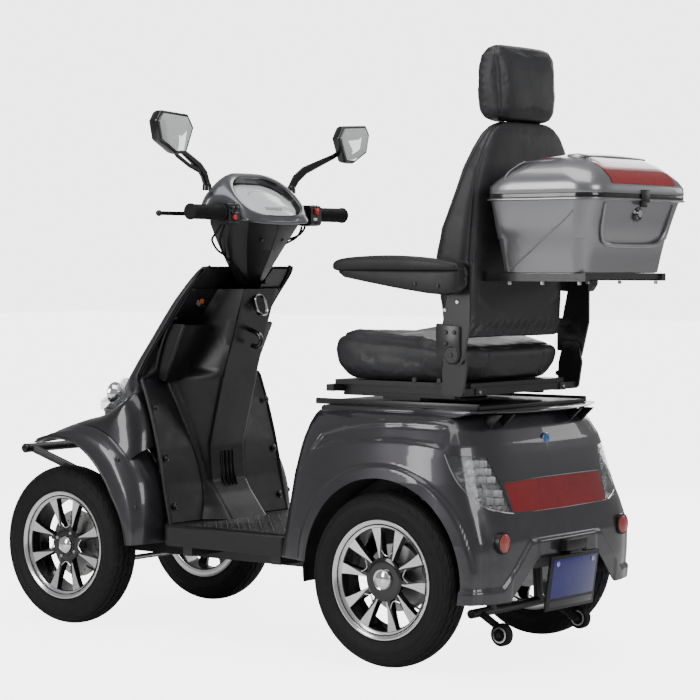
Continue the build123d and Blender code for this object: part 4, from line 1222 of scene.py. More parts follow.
REAR_LEVELS = [  # height, half width, rear edge at the middle, front edge
    (0.165, 0.341, 0.682, 0.061), (0.236, 0.344, 0.689, 0.061), (0.306, 0.3445, 0.690, 0.075),
    (0.366, 0.3445, 0.680, 0.087), (0.439, 0.343, 0.656, 0.101), (0.500, 0.334, 0.6395, 0.113),
    (0.525, 0.328, 0.632, 0.118), (0.560, 0.313, 0.614, 0.125), (0.580, 0.298, 0.598, 0.129),
    (0.589, 0.286, 0.588, 0.131),
]


def rear_plan(z):
    """Control points of the left half's outline at a height, from the front edge round to the middle."""
    half, rear, front = between(REAR_LEVELS, z)
    square = 1 - step(z, 0.28, 0.42)
    corner = 0.058 - 0.026 * square
    return [
        (half - 0.047, front), (half - 0.030, front + 0.030), (half - 0.012, front + 0.11),
        (half, front + 0.23), (half, rear - 0.20), (half - 0.004, rear - 0.125 + 0.03 * square),
        (half * 0.945, rear - corner), (half * 0.86, rear - 0.030 + 0.012 * square),
        (half * 0.73, rear - 0.014 + 0.007 * square), (half * 0.5, rear - 0.003), (0.0, rear),
    ]


ARCH_Y, ARCH_Z, ARCH_R = 0.394, 0.216, 0.229


def rear_relief(at):
    """How far a point of the rear body stands out: the flared arch, the recessed band, and the bumper step."""
    out = 0.0
    reach = hypot(at.y - ARCH_Y, at.z - ARCH_Z)
    if at.x > 0.25 and at.y < 0.66:
        out += 0.0085 * (1 - step(reach, 0.2545, 0.2645)) * step(at.y, 0.10, 0.17)
        upper = between([(0.13, 0.478), (0.166, 0.505), (0.19, 0.538), (0.266, 0.558), (0.337, 0.5665),
                         (0.428, 0.571), (0.53, 0.569)], at.y)[0]
        lower = between([(0.13, 0.478), (0.183, 0.502), (0.23, 0.519), (0.353, 0.530), (0.443, 0.532),
                         (0.529, 0.524), (0.62, 0.508)], at.y)[0]
        inside = step(at.z, lower - 0.002, lower + 0.006) * (1 - step(at.z, upper - 0.006, upper + 0.002))
        out -= 0.0065 * inside * step(at.y, 0.135, 0.175) * (1 - step(at.y, 0.535, 0.575))
    if at.y > 0.6:
        crease = bumper_line(at.x)
        out += 0.008 * (1 - step(at.z, crease - 0.008, crease))
    return out


def bumper_line(x):
    return 0.203 + 0.103 * min(1.0, max(0.0, (0.255 - abs(x)) / 0.105))


def bumper_low_edge(x):
    return 0.168 + 0.092 * min(1.0, max(0.0, (0.225 - abs(x)) / 0.100))


def rear_shell():
    """The left and right halves as one skin, with its wall and its turned-in top edge."""
    columns, rows = 205, 86
    grid = []
    for j in range(rows + 1):
        v = j / rows
        line = spaced([(x, y, 0) for x, y in rear_plan(0.168 + (0.589 - 0.168) * v)], columns)
        ring = []
        for flat in line:
            low = 0.232 - 0.064 * step(flat.y, 0.50, 0.56)
            if flat.y > 0.62 or flat.x < 0.26:
                low = bumper_low_edge(flat.x)
            z = low + (0.589 - low) * v
            ring.append(Vector((flat.x, flat.y, z)))
        grid.append(ring)
    for j, ring in enumerate(grid):
        exact = {}
        for k, point in enumerate(ring):
            key = round(point.z, 4)
            if key not in exact:
                exact[key] = spaced([(x, y, 0) for x, y in rear_plan(point.z)], columns)
            flat = exact[key][k]
            point.x, point.y = flat.x, flat.y
    shaped = []
    for j, ring in enumerate(grid):
        row = []
        for k, point in enumerate(ring):
            before, after = ring[max(0, k - 1)], ring[min(columns - 1, k + 1)]
            along = (after - before).normalized()
            outwards = Vector((-along.y, along.x, 0)) * -1
            if outwards.x < 0 and outwards.y < 0:
                outwards = -outwards
            row.append(point + Vector((outwards.x, outwards.y, 0)) * rear_relief(point))
        shaped.append(row)
    top = shaped[-1]
    for inset, rise in ((0.006, 0.0035), (0.016, 0.0058), (0.034, 0.0065)):
        shaped.append([Vector((p.x - inset * step(p.x, 0.0, 0.2), p.y - inset * step(p.y, 0.35, 0.6)
                               + inset * (1 - step(p.y, 0.14, 0.3)), p.z + rise)) for p in top])
    bm = loft(shaped, closed=False, caps=False)
    right = mirror_of(bm)
    whole = joined(bm, right)
    bmesh.ops.remove_doubles(whole, verts=whole.verts, dist=0.0004)
    bmesh.ops.recalc_face_normals(whole, faces=whole.faces)
    probe = max(whole.faces, key=lambda f: f.calc_center_median().x)
    if probe.normal.x < 0:
        bmesh.ops.reverse_faces(whole, faces=whole.faces)
    return solid(whole, thickness=0.0035, offset=-1.0)


def make_arch_liners():
    """Dark liners inside the wheel arches, closed towards the middle."""
    walls = []
    for side in (-1, 1):
        rings = []
        for x, reach in ((0.339, 0.2325), (0.250, 0.2325), (0.238, 0.2260), (0.238, 0.20)):
            ring = []
            for k in range(41):
                angle = radians(-8 + 196 * k / 40)
                ring.append(Vector((side * x, ARCH_Y + reach * cos(angle),
                                    max(0.176, ARCH_Z + reach * sin(angle)))))
            rings.append(ring)
        walls.append(loft(rings, closed=False, caps=False))
    sheet = joined(*walls)
    bmesh.ops.recalc_face_normals(sheet, faces=sheet.faces)
    finished("arch_liners", solid(sheet, thickness=0.002, offset=1.0), GRAINED, "chassis", slot="black_plastic",
             smooth=50)


def make_front_wall():
    """The panel that closes the rear body towards the deck, with its pressed ribs."""
    rows, ribs = [], []
    for k in range(21):
        z = 0.238 + 0.349 * k / 20
        half, _, front = between(REAR_LEVELS, z)
        rows.append([Vector((side * (half - 0.0450), front + 0.0035, z)) for side in (-1, -0.5, 0, 0.5, 1)])
    sheet = loft(rows, closed=False, caps=False)
    bmesh.ops.recalc_face_normals(sheet, faces=sheet.faces)
    if max(sheet.faces, key=lambda f: f.calc_area()).normal.y > 0:
        bmesh.ops.reverse_faces(sheet, faces=sheet.faces)
    for x in (-0.16, -0.08, 0.0, 0.08, 0.16):
        ribs.append(tube([(x, between(REAR_LEVELS, z)[2] + 0.0045, z) for z in (0.29, 0.37, 0.45, 0.53)], 0.0045, 8))
    wall = bm_of(solid(sheet, thickness=0.003, offset=-1.0))
    finished("front_wall", joined(wall, *ribs), GRAINED, "chassis", slot="black_plastic")


def tool(mesh_or_bm):
    """A hidden cutting shape; the caller removes it."""
    if isinstance(mesh_or_bm, bmesh.types.BMesh):
        mesh = bpy.data.meshes.new("tool")
        mesh_or_bm.to_mesh(mesh)
        mesh_or_bm.free()
        mesh_or_bm = mesh
    shape = bpy.data.objects.new("tool", mesh_or_bm)
    bpy.context.scene.collection.objects.link(shape)
    return shape


def overlap(mesh, other, operation):
    blank = bpy.data.objects.new("blank", mesh.copy())
    bpy.context.scene.collection.objects.link(blank)
    cut = blank.modifiers.new("cut", "BOOLEAN")
    cut.operation, cut.object, cut.solver = operation, other, "EXACT"
    result = evaluated(blank)
    bpy.data.objects.remove(blank)
    return result


CORNER = Vector((0.79, 0.613, 0))  # the way the tail lamps face
LAMP_CORNERS = [(0.316, 0.560, 0.507), (0.243, 0.628, 0.500), (0.2215, 0.646, 0.446), (0.204, 0.675, 0.370),
                (0.262, 0.655, 0.378), (0.298, 0.634, 0.398), (0.322, 0.585, 0.455)]


def lamp_prism(reach, scale=1.0):
    middle = sum((Vector(p) for p in LAMP_CORNERS), Vector()) / len(LAMP_CORNERS)
    outline = [middle + (Vector(p) - middle) * scale for p in LAMP_CORNERS]
    return outward(loft([[p - CORNER * reach for p in outline], [p + CORNER * reach for p in outline]]))


def bar_prism(scale=1.0):
    outline = [(-0.207, 0.4385), (0.0, 0.4415), (0.207, 0.4385), (0.199, 0.372), (0.0, 0.3655), (-0.199, 0.372)]
    low = [(x * scale, 0.6, 0.404 + (z - 0.404) * scale) for x, z in outline]
    high = [(x * scale, 0.76, 0.404 + (z - 0.404) * scale) for x, z in outline]
    return outward(loft([[Vector(p) for p in low], [Vector(p) for p in high]]))


def make_rear_body():
    shell = rear_shell()
    arches = []
    for side in (-1, 1):
        ring = turned([(-0.10, 0.0001), (-0.10, ARCH_R), (0.10, ARCH_R), (0.10, 0.0001)],
                      (side * 0.345, ARCH_Y, ARCH_Z), 96)
        arches.append(tool(outward(ring)))
    lamp_left = tool(lamp_prism(0.05))
    lamp_right = tool(mirror_of(lamp_prism(0.05)))
    bar = tool(bar_prism())
    for cutter in arches:
        shell = overlap(shell, cutter, "DIFFERENCE")
    lenses = [overlap(shell, cutter, "INTERSECT") for cutter in (lamp_left, lamp_right)]
    red = overlap(shell, bar, "INTERSECT")
    body = shell
    for cutter in (lamp_left, lamp_right, bar):
        body = overlap(body, cutter, "DIFFERENCE")
    for used in (*arches, lamp_left, lamp_right, bar):
        bpy.data.objects.remove(used)
    body.materials.clear()
    finished("rear_body_shell", body, GUNMETAL, "chassis", stands_for=["rear_body"], slot="gunmetal_paint",
             smooth=58)
    both = joined(bm_of(lenses[0]), bm_of(lenses[1]))
    finished("tail_lamp_lenses", both, CLEAR, "chassis", stands_for=["tail_lamps"], slot="clear_lens", smooth=30)
    finished("tail_bar", red, RED_LENS, "chassis", stands_for=["tail_bar_lens"], slot="red_lens", smooth=30)
    make_arch_liners()
    make_front_wall()
    make_lamp_insides()
    make_rear_trim()
    make_top_cover()
    make_reflectors_and_plate()


def bm_of(mesh):
    bm = bmesh.new()
    bm.from_mesh(mesh)
    return bm


def make_lamp_insides():
    """Behind each clear lens: a dark tub, bright stepped reflector blades and a bulb."""
    middle = sum((Vector(p) for p in LAMP_CORNERS), Vector()) / len(LAMP_CORNERS)
    tub, blades = bmesh.new(), bmesh.new()
    outer = [p - CORNER * 0.006 for p in (middle + (Vector(q) - middle) * 1.03 for q in LAMP_CORNERS)]
    floor = [p - CORNER * 0.045 for p in (middle + (Vector(q) - middle) * 0.82 for q in LAMP_CORNERS)]
    loft([outer, floor], bm=tub, caps=False)
    tub.faces.new(list(tub.verts)[-len(floor):])
    tub_mesh = solid(outward(tub), thickness=0.0015, offset=1.0)
    across = Vector((-CORNER.y, CORNER.x, 0))
    for k in range(6):
        z = 0.385 + 0.0185 * k
        centre = middle.lerp(Vector(LAMP_CORNERS[3 if k < 3 else 1]), 0.10) + Vector((0, 0, z - middle.z))
        lean = (z - middle.z) * -0.35
        centre += across * lean - CORNER * 0.015
        half = 0.034 - 0.003 * abs(k - 2)
        for j in range(3):
            a = centre + across * (half * (2 * j - 2) / 3 - half / 6)
            b = centre + across * (half * (2 * j - 2) / 3 + half / 2.2)
            rings = []
            for t in (0.0, 0.5, 1.0):
                p = a.lerp(b, t) - CORNER * 0.010 * sin(pi * t)
                rings.append([p + Vector((0, 0, 0.0075)) + CORNER * 0.006, p + Vector((0, 0, -0.0075)),
                              p + Vector((0, 0, -0.0085)) - CORNER * 0.001,
                              p + Vector((0, 0, 0.0065)) + CORNER * 0.005])
            loft(rings, bm=blades)
    blade_mesh = solid(outward(blades, 1e-7))
    dark = bm_of(tub_mesh)
    finished("tail_lamp_tubs", joined(dark, mirror_of(bm_of(tub_mesh))), GLOSS_BLACK, "chassis")
    finished("tail_lamp_reflectors", joined(bm_of(blade_mesh), mirror_of(bm_of(blade_mesh))), LAMP_SILVER, "chassis")
    behind = []
    for x in range(-9, 10):
        behind.append(extruded([(x * 0.0205 - 0.008, 0.376), (x * 0.0205 + 0.008, 0.376),
                                (x * 0.0205 + 0.008, 0.400), (x * 0.0205 - 0.008, 0.400)], 0.640, 0.646, "Y"))
    finished("tail_bar_cells", joined(*behind), RED_CLEAR, "chassis")


def make_rear_trim():
    """Bright beads under the tail lamps, the dark joint round the red bar, and the round lock cap."""
    pieces = []
    for side in (1, -1):
        path = [Vector((side * p[0], p[1], p[2])) for p in LAMP_CORNERS]
        offset = Vector((side * CORNER.x, CORNER.y, 0)) * 0.0035
        low = [path[k] + offset for k in (3, 4, 5, 6, 0)]
        pieces.append(tube(low, 0.0017, 8))
    finished("tail_lamp_beads", joined(*pieces), CHROME, "chassis")
    lines = []
    for sign, level in ((1, 0.4405), (-1, 0.3690)):
        points = []
        for k in range(9):
            x = 0.205 * (k - 4) / 4
            points.append((x, rear_face_at(x, level) + 0.0004, level + (0.0015 * sign) * (1 - (k - 4) ** 2 / 16)))
        lines.append(tube(points, 0.0012, 8))
    finished("tail_bar_joint", joined(*lines), GLOSS_BLACK, "chassis")
    cap = []
    for radius, depth in ((0.0001, -0.004), (0.0135, -0.004), (0.0135, 0.0022), (0.012, 0.0034), (0.0001, 0.0040)):
        cap.append([Vector((radius * cos(2 * pi * k / 32), rear_face_at(0, 0.529) + depth,
                            0.529 + radius * sin(2 * pi * k / 32))) for k in range(32)])
    finished("lock_cap", outward(loft(cap)), BADGE_BLUE, "chassis")
    ring = tube([(0.0138 * cos(a), rear_face_at(0, 0.529) + 0.001, 0.529 + 0.0138 * sin(a))
                 for a in (2 * pi * k / 24 for k in range(25))], 0.0009, 8)
    finished("lock_cap_ring", ring, CHROME, "chassis")


def rear_face_at(x, z):
    """Where the rear body's outer face stands behind a point x across and z up."""
    line = spaced([(a, b, 0) for a, b in rear_plan(z)], 90)
    nearest = min(line, key=lambda p: abs(p.x - abs(x)) + (0 if p.y > 0.4 else 1))
    return nearest.y


def make_top_cover():
    """The seat-base cover with its raised panel, and the spoiler that sweeps back from it."""
    rings = []
    for z, grow in ((0.588, 0.0), (0.599, 0.0), (0.6035, -0.003), (0.6045, -0.010)):
        outline = [(0.255 + grow, 0.150 - grow), (0.262 + grow, 0.30), (0.262 + grow, 0.44), (0.0, 0.44)]
        full = [*outline[:3], *((-x, y) for x, y in reversed(outline[:3]))]
        rings.append([Vector((x, y, z)) for x, y in full])
    cover = loft(rings)
    rings = []
    count = 28
    for k in range(count + 1):
        x = -0.268 + 0.536 * k / count
        share = abs(x) / 0.268
        rear = 0.654 - 0.052 * share ** 2.4
        tip = 0.0035 * share ** 3
        rings.append([Vector(p) for p in (
            (x, 0.436, 0.586), (x, 0.436, 0.6050 - 0.001 * share), (x, 0.50, 0.6065 - 0.001 * share),
            (x, 0.57, 0.6058 - 0.001 * share), (x, rear - 0.012, 0.6030 + tip - 0.002), (x, rear, 0.5995 + tip),
            (x, rear - 0.003, 0.5960 + tip), (x, 0.60 - 0.02 * share, 0.5925 + 0.5 * tip), (x, 0.555, 0.588))])
    spoiler = loft(rings)
    cover_mesh = solid(outward(cover), bevel=0.0025)
    spoiler_mesh = solid(outward(spoiler), bevel=0.0015)
    struts = []
    for x in (-0.200, -0.145, 0.145, 0.200):
        struts.append(extruded([(0.584, 0.560), (0.604, 0.560), (0.640, 0.594), (0.600, 0.594)],
                               x - 0.004, x + 0.004, "X"))
    dark = bm_of(solid(joined(*struts), bevel=0.001))
    finished("top_cover", joined(bm_of(cover_mesh), bm_of(spoiler_mesh)), GUNMETAL, "chassis",
             stands_for=["rear_spoiler"], smooth=30)
    finished("spoiler_struts", dark, SATIN, "chassis", slot="black_plastic")


def make_reflectors_and_plate():
    cups, faces = [], []
    for x in (0.259, -0.259):
        base = rear_face_at(x, 0.306)
        for profile, store in (
            ([(0.0001, -0.010), (0.024, -0.010), (0.0255, 0.004), (0.0250, 0.0075), (0.0228, 0.0080),
              (0.0220, 0.0050), (0.0001, 0.0050)], cups),
            ([(0.0001, 0.0052), (0.0216, 0.0052), (0.0216, 0.0086), (0.0195, 0.0100), (0.0001, 0.0106)], faces),
        ):
            rings = [[Vector((x + r * cos(2 * pi * k / 48), base + d, 0.306 + r * sin(2 * pi * k / 48)))
                      for k in range(48)] for r, d in profile]
            store.append(outward(loft(rings)))
    finished("reflector_cups", joined(*cups), SATIN, "chassis", slot="black_plastic")
    finished("reflector_faces", joined(*faces), PALE_RED, "chassis", stands_for=["reflectors"], slot="red_lens")

    lean = Matrix.Rotation(radians(-8), 3, "X")
    centre = Vector((0, 0.7065, 0.196))

    def plate_box(half_x, z0, z1, y0, y1, bevel):
        bm = extruded([(-half_x, z0), (half_x, z0), (half_x, z1), (-half_x, z1)], y0, y1, "Y")
        mesh = solid(bm, bevel=bevel)
        part = bm_of(mesh)
        for vert in part.verts:
            vert.co = centre + lean @ vert.co
        return part

    border = joined(plate_box(0.104, -0.066, 0.066, -0.006, 0.0015, 0.002))
    finished("plate_frame", border, SATIN, "chassis", stands_for=["number_plate"], slot="black_plastic")
    finished("plate_panel", plate_box(0.094, -0.036, 0.058, 0.0008, 0.0026, 0.0006), BLUE, "chassis",
             slot="plate_blue")
    finished("plate_low_strip", plate_box(0.094, -0.058, -0.042, 0.0008, 0.0022, 0.0006), GLOSS_BLACK, "chassis")
    facing = lean @ Vector((0, 1, 0))
    spots = [(centre + lean @ Vector((x, 0.0026, 0.047)), facing, 0.4) for x in (-0.076, 0.076)]
    repeated("plate_screws", screw_head(0.0062, 0.003), ZINC, spots, "chassis")
    lamp = joined(bm_of(solid(extruded([(-0.046, 0.270), (0.046, 0.270), (0.043, 0.297), (-0.043, 0.297)],
                                       0.684, 0.722, "Y"), bevel=0.004, bevel_steps=3)),
                  bm_of(solid(extruded([(-0.026, 0.262), (0.026, 0.262), (0.024, 0.271), (-0.024, 0.271)],
                                       0.700, 0.718, "Y"), bevel=0.0015)))
    finished("plate_lamp", lamp, SATIN, "chassis", slot="black_plastic")
    finished("plate_lamp_window", extruded([(-0.022, 0.2598), (0.022, 0.2598), (0.022, 0.2625), (-0.022, 0.2625)],
                                           0.703, 0.715, "Y"), CLEAR, "chassis", slot="clear_lens")


make_rear_body()


# ---------------------------------------------------------------- front bodywork
FENDER_CROWN = [  # angle round the front axle from straight back, radius
    (4, 0.281), (20, 0.300), (35, 0.322), (50, 0.338), (62, 0.343), (72, 0.341), (82, 0.330), (92, 0.312),
    (101, 0.298), (107, 0.2875), (109, 0.2845),
]
FENDER_LIP = [(4, 0.2335), (20.7, 0.232), (36.7, 0.2305), (53.4, 0.2455), (67.5, 0.262), (81.5, 0.2785),
              (96.8, 0.2850), (106, 0.2835), (109, 0.2825)]
COWL_EDGE = [(46, 0.372), (52, 0.403), (58.7, 0.437), (64.2, 0.4600), (67, 0.425), (70.1, 0.3885), (73, 0.366),
             (77, 0.349), (84, 0.331), (88, 0.322)]


def round_axle(x, degrees, reach):
    return Vector((x, AXLE_FRONT + reach * cos(radians(degrees)), AXLE_HEIGHT + reach * sin(radians(degrees))))


def fender_section(degrees):
    """Across one radius of the fender: from the inner edge over the crown and down the outer face to the lip."""
    crown, lip = between(FENDER_CROWN, degrees)[0], between(FENDER_LIP, degrees)[0]
    fall = crown - lip
    points = [
        (0.2035, crown - 0.006 - 0.1 * fall), (0.208, crown - 0.002 - 0.02 * fall), (0.224, crown + 0.0008),
        (0.250, crown), (0.276, crown - 0.0015 - 0.03 * fall), (0.2975, crown - 0.004 - 0.13 * fall),
        (0.3110, crown - 0.005 - 0.32 * fall), (0.3180, lip + 0.48 * fall), (0.3208, lip + 0.24 * fall),
        (0.3215, lip + 0.002),
    ]
    return spaced([round_axle(x, degrees, max(reach, lip)) for x, reach in points], 28)


def cowl_section(degrees):
    """Across the cowl that rises from the fender to the headlamp."""
    low = between(FENDER_CROWN, degrees)[0] - 0.010
    high = max(low + 0.002, between(COWL_EDGE, degrees)[0])
    rise = high - low
    points = [(0.196, high), (0.215, high - 0.02 * rise), (0.246, high - 0.12 * rise), (0.268, high - 0.32 * rise),
              (0.284, high - 0.62 * rise), (0.296, low)]
    return spaced([round_axle(x, degrees, reach) for x, reach in points], 20)


def skin_of(rows, thickness):
    """A wall of even thickness behind a sheet whose outer side faces away from the middle."""
    sheet = loft(rows, closed=False, caps=False)
    bmesh.ops.recalc_face_normals(sheet, faces=sheet.faces)
    probe = max(sheet.faces, key=lambda f: f.calc_center_median().x)
    if probe.normal.x < 0:
        bmesh.ops.reverse_faces(sheet, faces=sheet.faces)
    return solid(sheet, thickness=thickness, offset=-1.0)


def make_fenders():
    rows = [fender_section(4 + 105 * k / 110) for k in range(111)]
    parts = [
        ("skin", skin_of(rows, 0.0032), GUNMETAL, "gunmetal_paint", 50),
        # The cowl takes the darker copy of the gunmetal lacquer: painted shade.
        ("cowl", skin_of([cowl_section(46 + 42 * k / 50) for k in range(51)], 0.003), COWL_PAINTED_SHADE, "gunmetal_paint",
         30),
    ]
    rim = tube([row[-1] + Vector((-0.003, 0, 0)) for row in rows[::3]], 0.0045, 8)
    lip_mesh = bpy.data.meshes.new("lip")
    rim.to_mesh(lip_mesh)
    rim.free()
    parts.append(("lip", lip_mesh, SATIN, "black_plastic", 40))
    for side, name in ((1, "left"), (-1, "right")):
        for part, mesh, material, slot, smooth in parts:
            bm = bm_of(mesh)
            finished(f"fender_{part}_{name}", mirror_of(bm) if side < 0 else bm, material, "chassis",
                     stands_for=[f"front_fender_{name}"] if part == "skin" else [], slot=slot, smooth=smooth)
    spots = []
    for side in (-1, 1):
        for degrees, share in ((24.0, 19), (50.0, 18)):
            place = fender_section(degrees)[share]
            spots.append((Vector((side * (place.x + 0.0005), place.y, place.z)), Vector((side, 0, 0)), 0.3))
    repeated("fender_screws", screw_head(0.0065, 0.0032), BLACK_STEEL, spots, "chassis")


FAIRING_LEVELS = [  # height, front, rear seal, half width
    (0.490, -0.730, -0.545, 0.092), (0.515, -0.718, -0.535, 0.130), (0.540, -0.702, -0.525, 0.165),
    (0.560, -0.680, -0.518, 0.185), (0.585, -0.640, -0.512, 0.193), (0.612, -0.589, -0.508, 0.197),
    (0.652, -0.553, -0.506, 0.1995), (0.694, -0.520, -0.480, 0.1995), (0.752, -0.475, -0.4385, 0.197),
    (0.800, -0.440, -0.403, 0.1945), (0.851, -0.400, -0.3655, 0.1915), (0.900, -0.355, -0.322, 0.187),
    (0.926, -0.333, -0.297, 0.180), (0.938, -0.322, -0.288, 0.170),
]


def make_fairing():
    rows = []
    for j in range(61):
        z = 0.490 + (0.938 - 0.490) * j / 60
        front, rear, half = between(FAIRING_LEVELS, z)
        depth = rear - front
        line = [(half - 0.006, rear), (half, rear - 0.10 * depth), (half, rear - 0.35 * depth),
                (half - 0.004, front + 0.38 * depth), (half - 0.018, front + 0.15 * depth),
                (half - 0.055, front + 0.03 * depth), (half * 0.5, front + 0.004), (0.0, front)]
        left = spaced([(x, y, 0) for x, y in line], 40)
        full = [Vector((p.x, p.y, z)) for p in left] + [Vector((-p.x, p.y, z)) for p in reversed(left[:-1])]
        rows.append(full)
    skin = loft(rows, closed=False, caps=False)
    bmesh.ops.recalc_face_normals(skin, faces=skin.faces)
    probe = min(skin.faces, key=lambda f: f.calc_center_median().y)
    if probe.normal.y > 0:
        bmesh.ops.reverse_faces(skin, faces=skin.faces)
    shell = solid(skin, thickness=0.0035, offset=-1.0)
    lamps = bpy.data.objects.new("lamp_cut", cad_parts["headlamps"].data.copy())
    bpy.context.scene.collection.objects.link(lamps)
    shell = overlap(shell, lamps, "DIFFERENCE")
    bpy.data.objects.remove(lamps)
    nose = []
    for z, front, rear, half in ((0.300, -0.690, -0.640, 0.060), (0.360, -0.716, -0.640, 0.076),
                                 (0.452, -0.722, -0.600, 0.078), (0.500, -0.712, -0.600, 0.076)):
        nose.append([Vector((x * half, y, z)) for x, y in (
            (-1, rear), (-1, front + 0.02), (-0.8, front + 0.004), (0, front), (0.8, front + 0.004),
            (1, front + 0.02), (1, rear))])
    lower = bm_of(solid(outward(loft(nose)), bevel=0.004))
    finished("fairing_skin", joined(bm_of(shell), lower), GUNMETAL, "chassis", stands_for=["front_fairing"],
             slot="gunmetal_paint", smooth=34)
    seals = []
    for side in (-1, 1):
        path = []
        for z in (0.655, 0.70, 0.752, 0.80, 0.851, 0.90, 0.926, 0.936):
            _, rear, half = between(FAIRING_LEVELS, z)
            path.append((side * (half - 0.004), rear + 0.0035, z))
        seals.append(tube(path, 0.0038, 8))
    finished("fairing_seals", joined(*seals), GRIP_RUBBER, "chassis")


def make_headlamps():
    """Inside each clear headlamp: a bright bowl, a bulb shroud and the silver strip under it."""
    bowls, strips, bulbs = [], [], []
    for side in (-1, 1):
        bowl = outward(turned([(-0.012, 0.0001), (-0.010, 0.010), (0.002, 0.024), (0.020, 0.031), (0.0215, 0.031),
                               (0.004, 0.022), (-0.008, 0.009), (-0.0095, 0.0001)], (0, 0, 0), 32))
        for vert in bowl.verts:
            x, y, z = vert.co
            vert.co = Vector((side * 0.186 + y * 0.95, -0.582 - x * 0.9, 0.604 + z * 0.95))
        if side < 0:
            bmesh.ops.recalc_face_normals(bowl, faces=bowl.faces)
        bowls.append(bowl)
        bulb = outward(turned([(-0.006, 0.0001), (-0.006, 0.007), (0.012, 0.0065), (0.016, 0.0001)], (0, 0, 0), 20))
        for vert in bulb.verts:
            x, y, z = vert.co
            vert.co = Vector((side * 0.186 + y, -0.586 - x, 0.604 + z))
        bulbs.append(bulb)
        strips.append(tube([(side * 0.130, -0.652, 0.567), (side * 0.17, -0.640, 0.5635),
                            (side * 0.215, -0.612, 0.5615), (side * 0.252, -0.570, 0.561),
                            (side * 0.261, -0.520, 0.562)], 0.0034, 8))
    finished("headlamp_bowls", joined(*bowls), CHROME, "chassis")
    finished("headlamp_bulbs", joined(*bulbs), DIAL, "chassis")
    finished("headlamp_strips", joined(*strips), SILVER, "chassis")


# ---------------------------------------------------------------- leg shield and deck
SHIELD_EDGE = [(-0.362, 0.277), (-0.372, 0.313), (-0.397, 0.448), (-0.434, 0.580), (-0.460, 0.645)]


def make_leg_shield_trim():
    """The rolled edges, and the screws in their dimples."""
    rolls = []
    for side in (-1, 1):
        rolls.append(tube([(side * 0.234, y + 0.002, z) for y, z in SHIELD_EDGE], 0.0055, 10))
        rolls.append(tube([(side * 0.234, -0.459, 0.647), (side * 0.205, -0.4585, 0.6535),
                           (side * 0.1865, -0.456, 0.668)], 0.0050, 10))
        rolls.append(tube([(side * 0.184, -0.457, 0.660), (side * 0.184, -0.436, 0.752),
                           (side * 0.181, -0.366, 0.842), (side * 0.176, -0.296, 0.930),
                           (side * 0.160, -0.288, 0.938)], 0.0045, 10))
    finished("leg_shield_edges", joined(*rolls), SATIN, "chassis", slot="black_plastic")
    spots, cups = [], []
    for side in (-1, 1):
        for x, y, z in ((0.222, -0.422, 0.576), (0.218, -0.391, 0.444), (0.212, -0.366, 0.320),
                        (0.172, -0.337, 0.880), (0.174, -0.394, 0.806)):
            lean = Vector((0, 1.0, 0.28 if z < 0.6 else 0.75)).normalized()
            place = Vector((side * x, y, z)) + lean * 0.0016
            spots.append((place, lean, 0.5))
            ring = tube([place + facing_turn(lean, Vector((1, 0, 0))).to_matrix() @ Vector((0.0088 * cos(a), 0.0088 * sin(a), 0))
                         for a in (2 * pi * k / 16 for k in range(17))], 0.0011, 6)
            cups.append(ring)
    repeated("leg_shield_screws", screw_head(0.0060, 0.0030), BLACK_STEEL, spots, "chassis")
    finished("leg_shield_dimples", joined(*cups), GLOSS_BLACK, "chassis")


SHIELD_LEVELS = [  # height, half width, edge, spine, where the ridge runs
    (0.280, 0.230, -0.360, -0.297, 0.120), (0.313, 0.230, -0.369, -0.322, 0.100), (0.345, 0.230, -0.377, -0.348, 0.090),
    (0.375, 0.230, -0.384, -0.3675, 0.087), (0.420, 0.230, -0.3925, -0.3735, 0.092), (0.470, 0.230, -0.403, -0.3745, 0.103),
    (0.530, 0.230, -0.420, -0.3600, 0.120), (0.580, 0.230, -0.434, -0.3470, 0.134), (0.625, 0.230, -0.451, -0.3350, 0.146),
    (0.645, 0.226, -0.458, -0.3300, 0.150), (0.655, 0.190, -0.457, -0.3270, 0.140), (0.668, 0.184, -0.4545, -0.3240, 0.110),
    (0.752, 0.184, -0.436, -0.2980, 0.080), (0.800, 0.183, -0.397, -0.2830, 0.078), (0.842, 0.182, -0.364, -0.2700, 0.078),
    (0.879, 0.181, -0.335, -0.2588, 0.078),
]


def shield_point(across, z):
    """A point of the moulded panel; across runs from -1 at the right edge to 1 at the left."""
    half, edge, spine, ridge = between(SHIELD_LEVELS, z)
    x = across * half
    rise = 1 - step(abs(x), 0.0655, ridge)
    swell = 0.0065 * max(0.0, 1 - abs(abs(x) - ridge * 0.92) / 0.013) ** 2 * (1 - step(z, 0.62, 0.66))
    return Vector((x, edge + 0.003 + (spine - edge) * rise + swell, z))


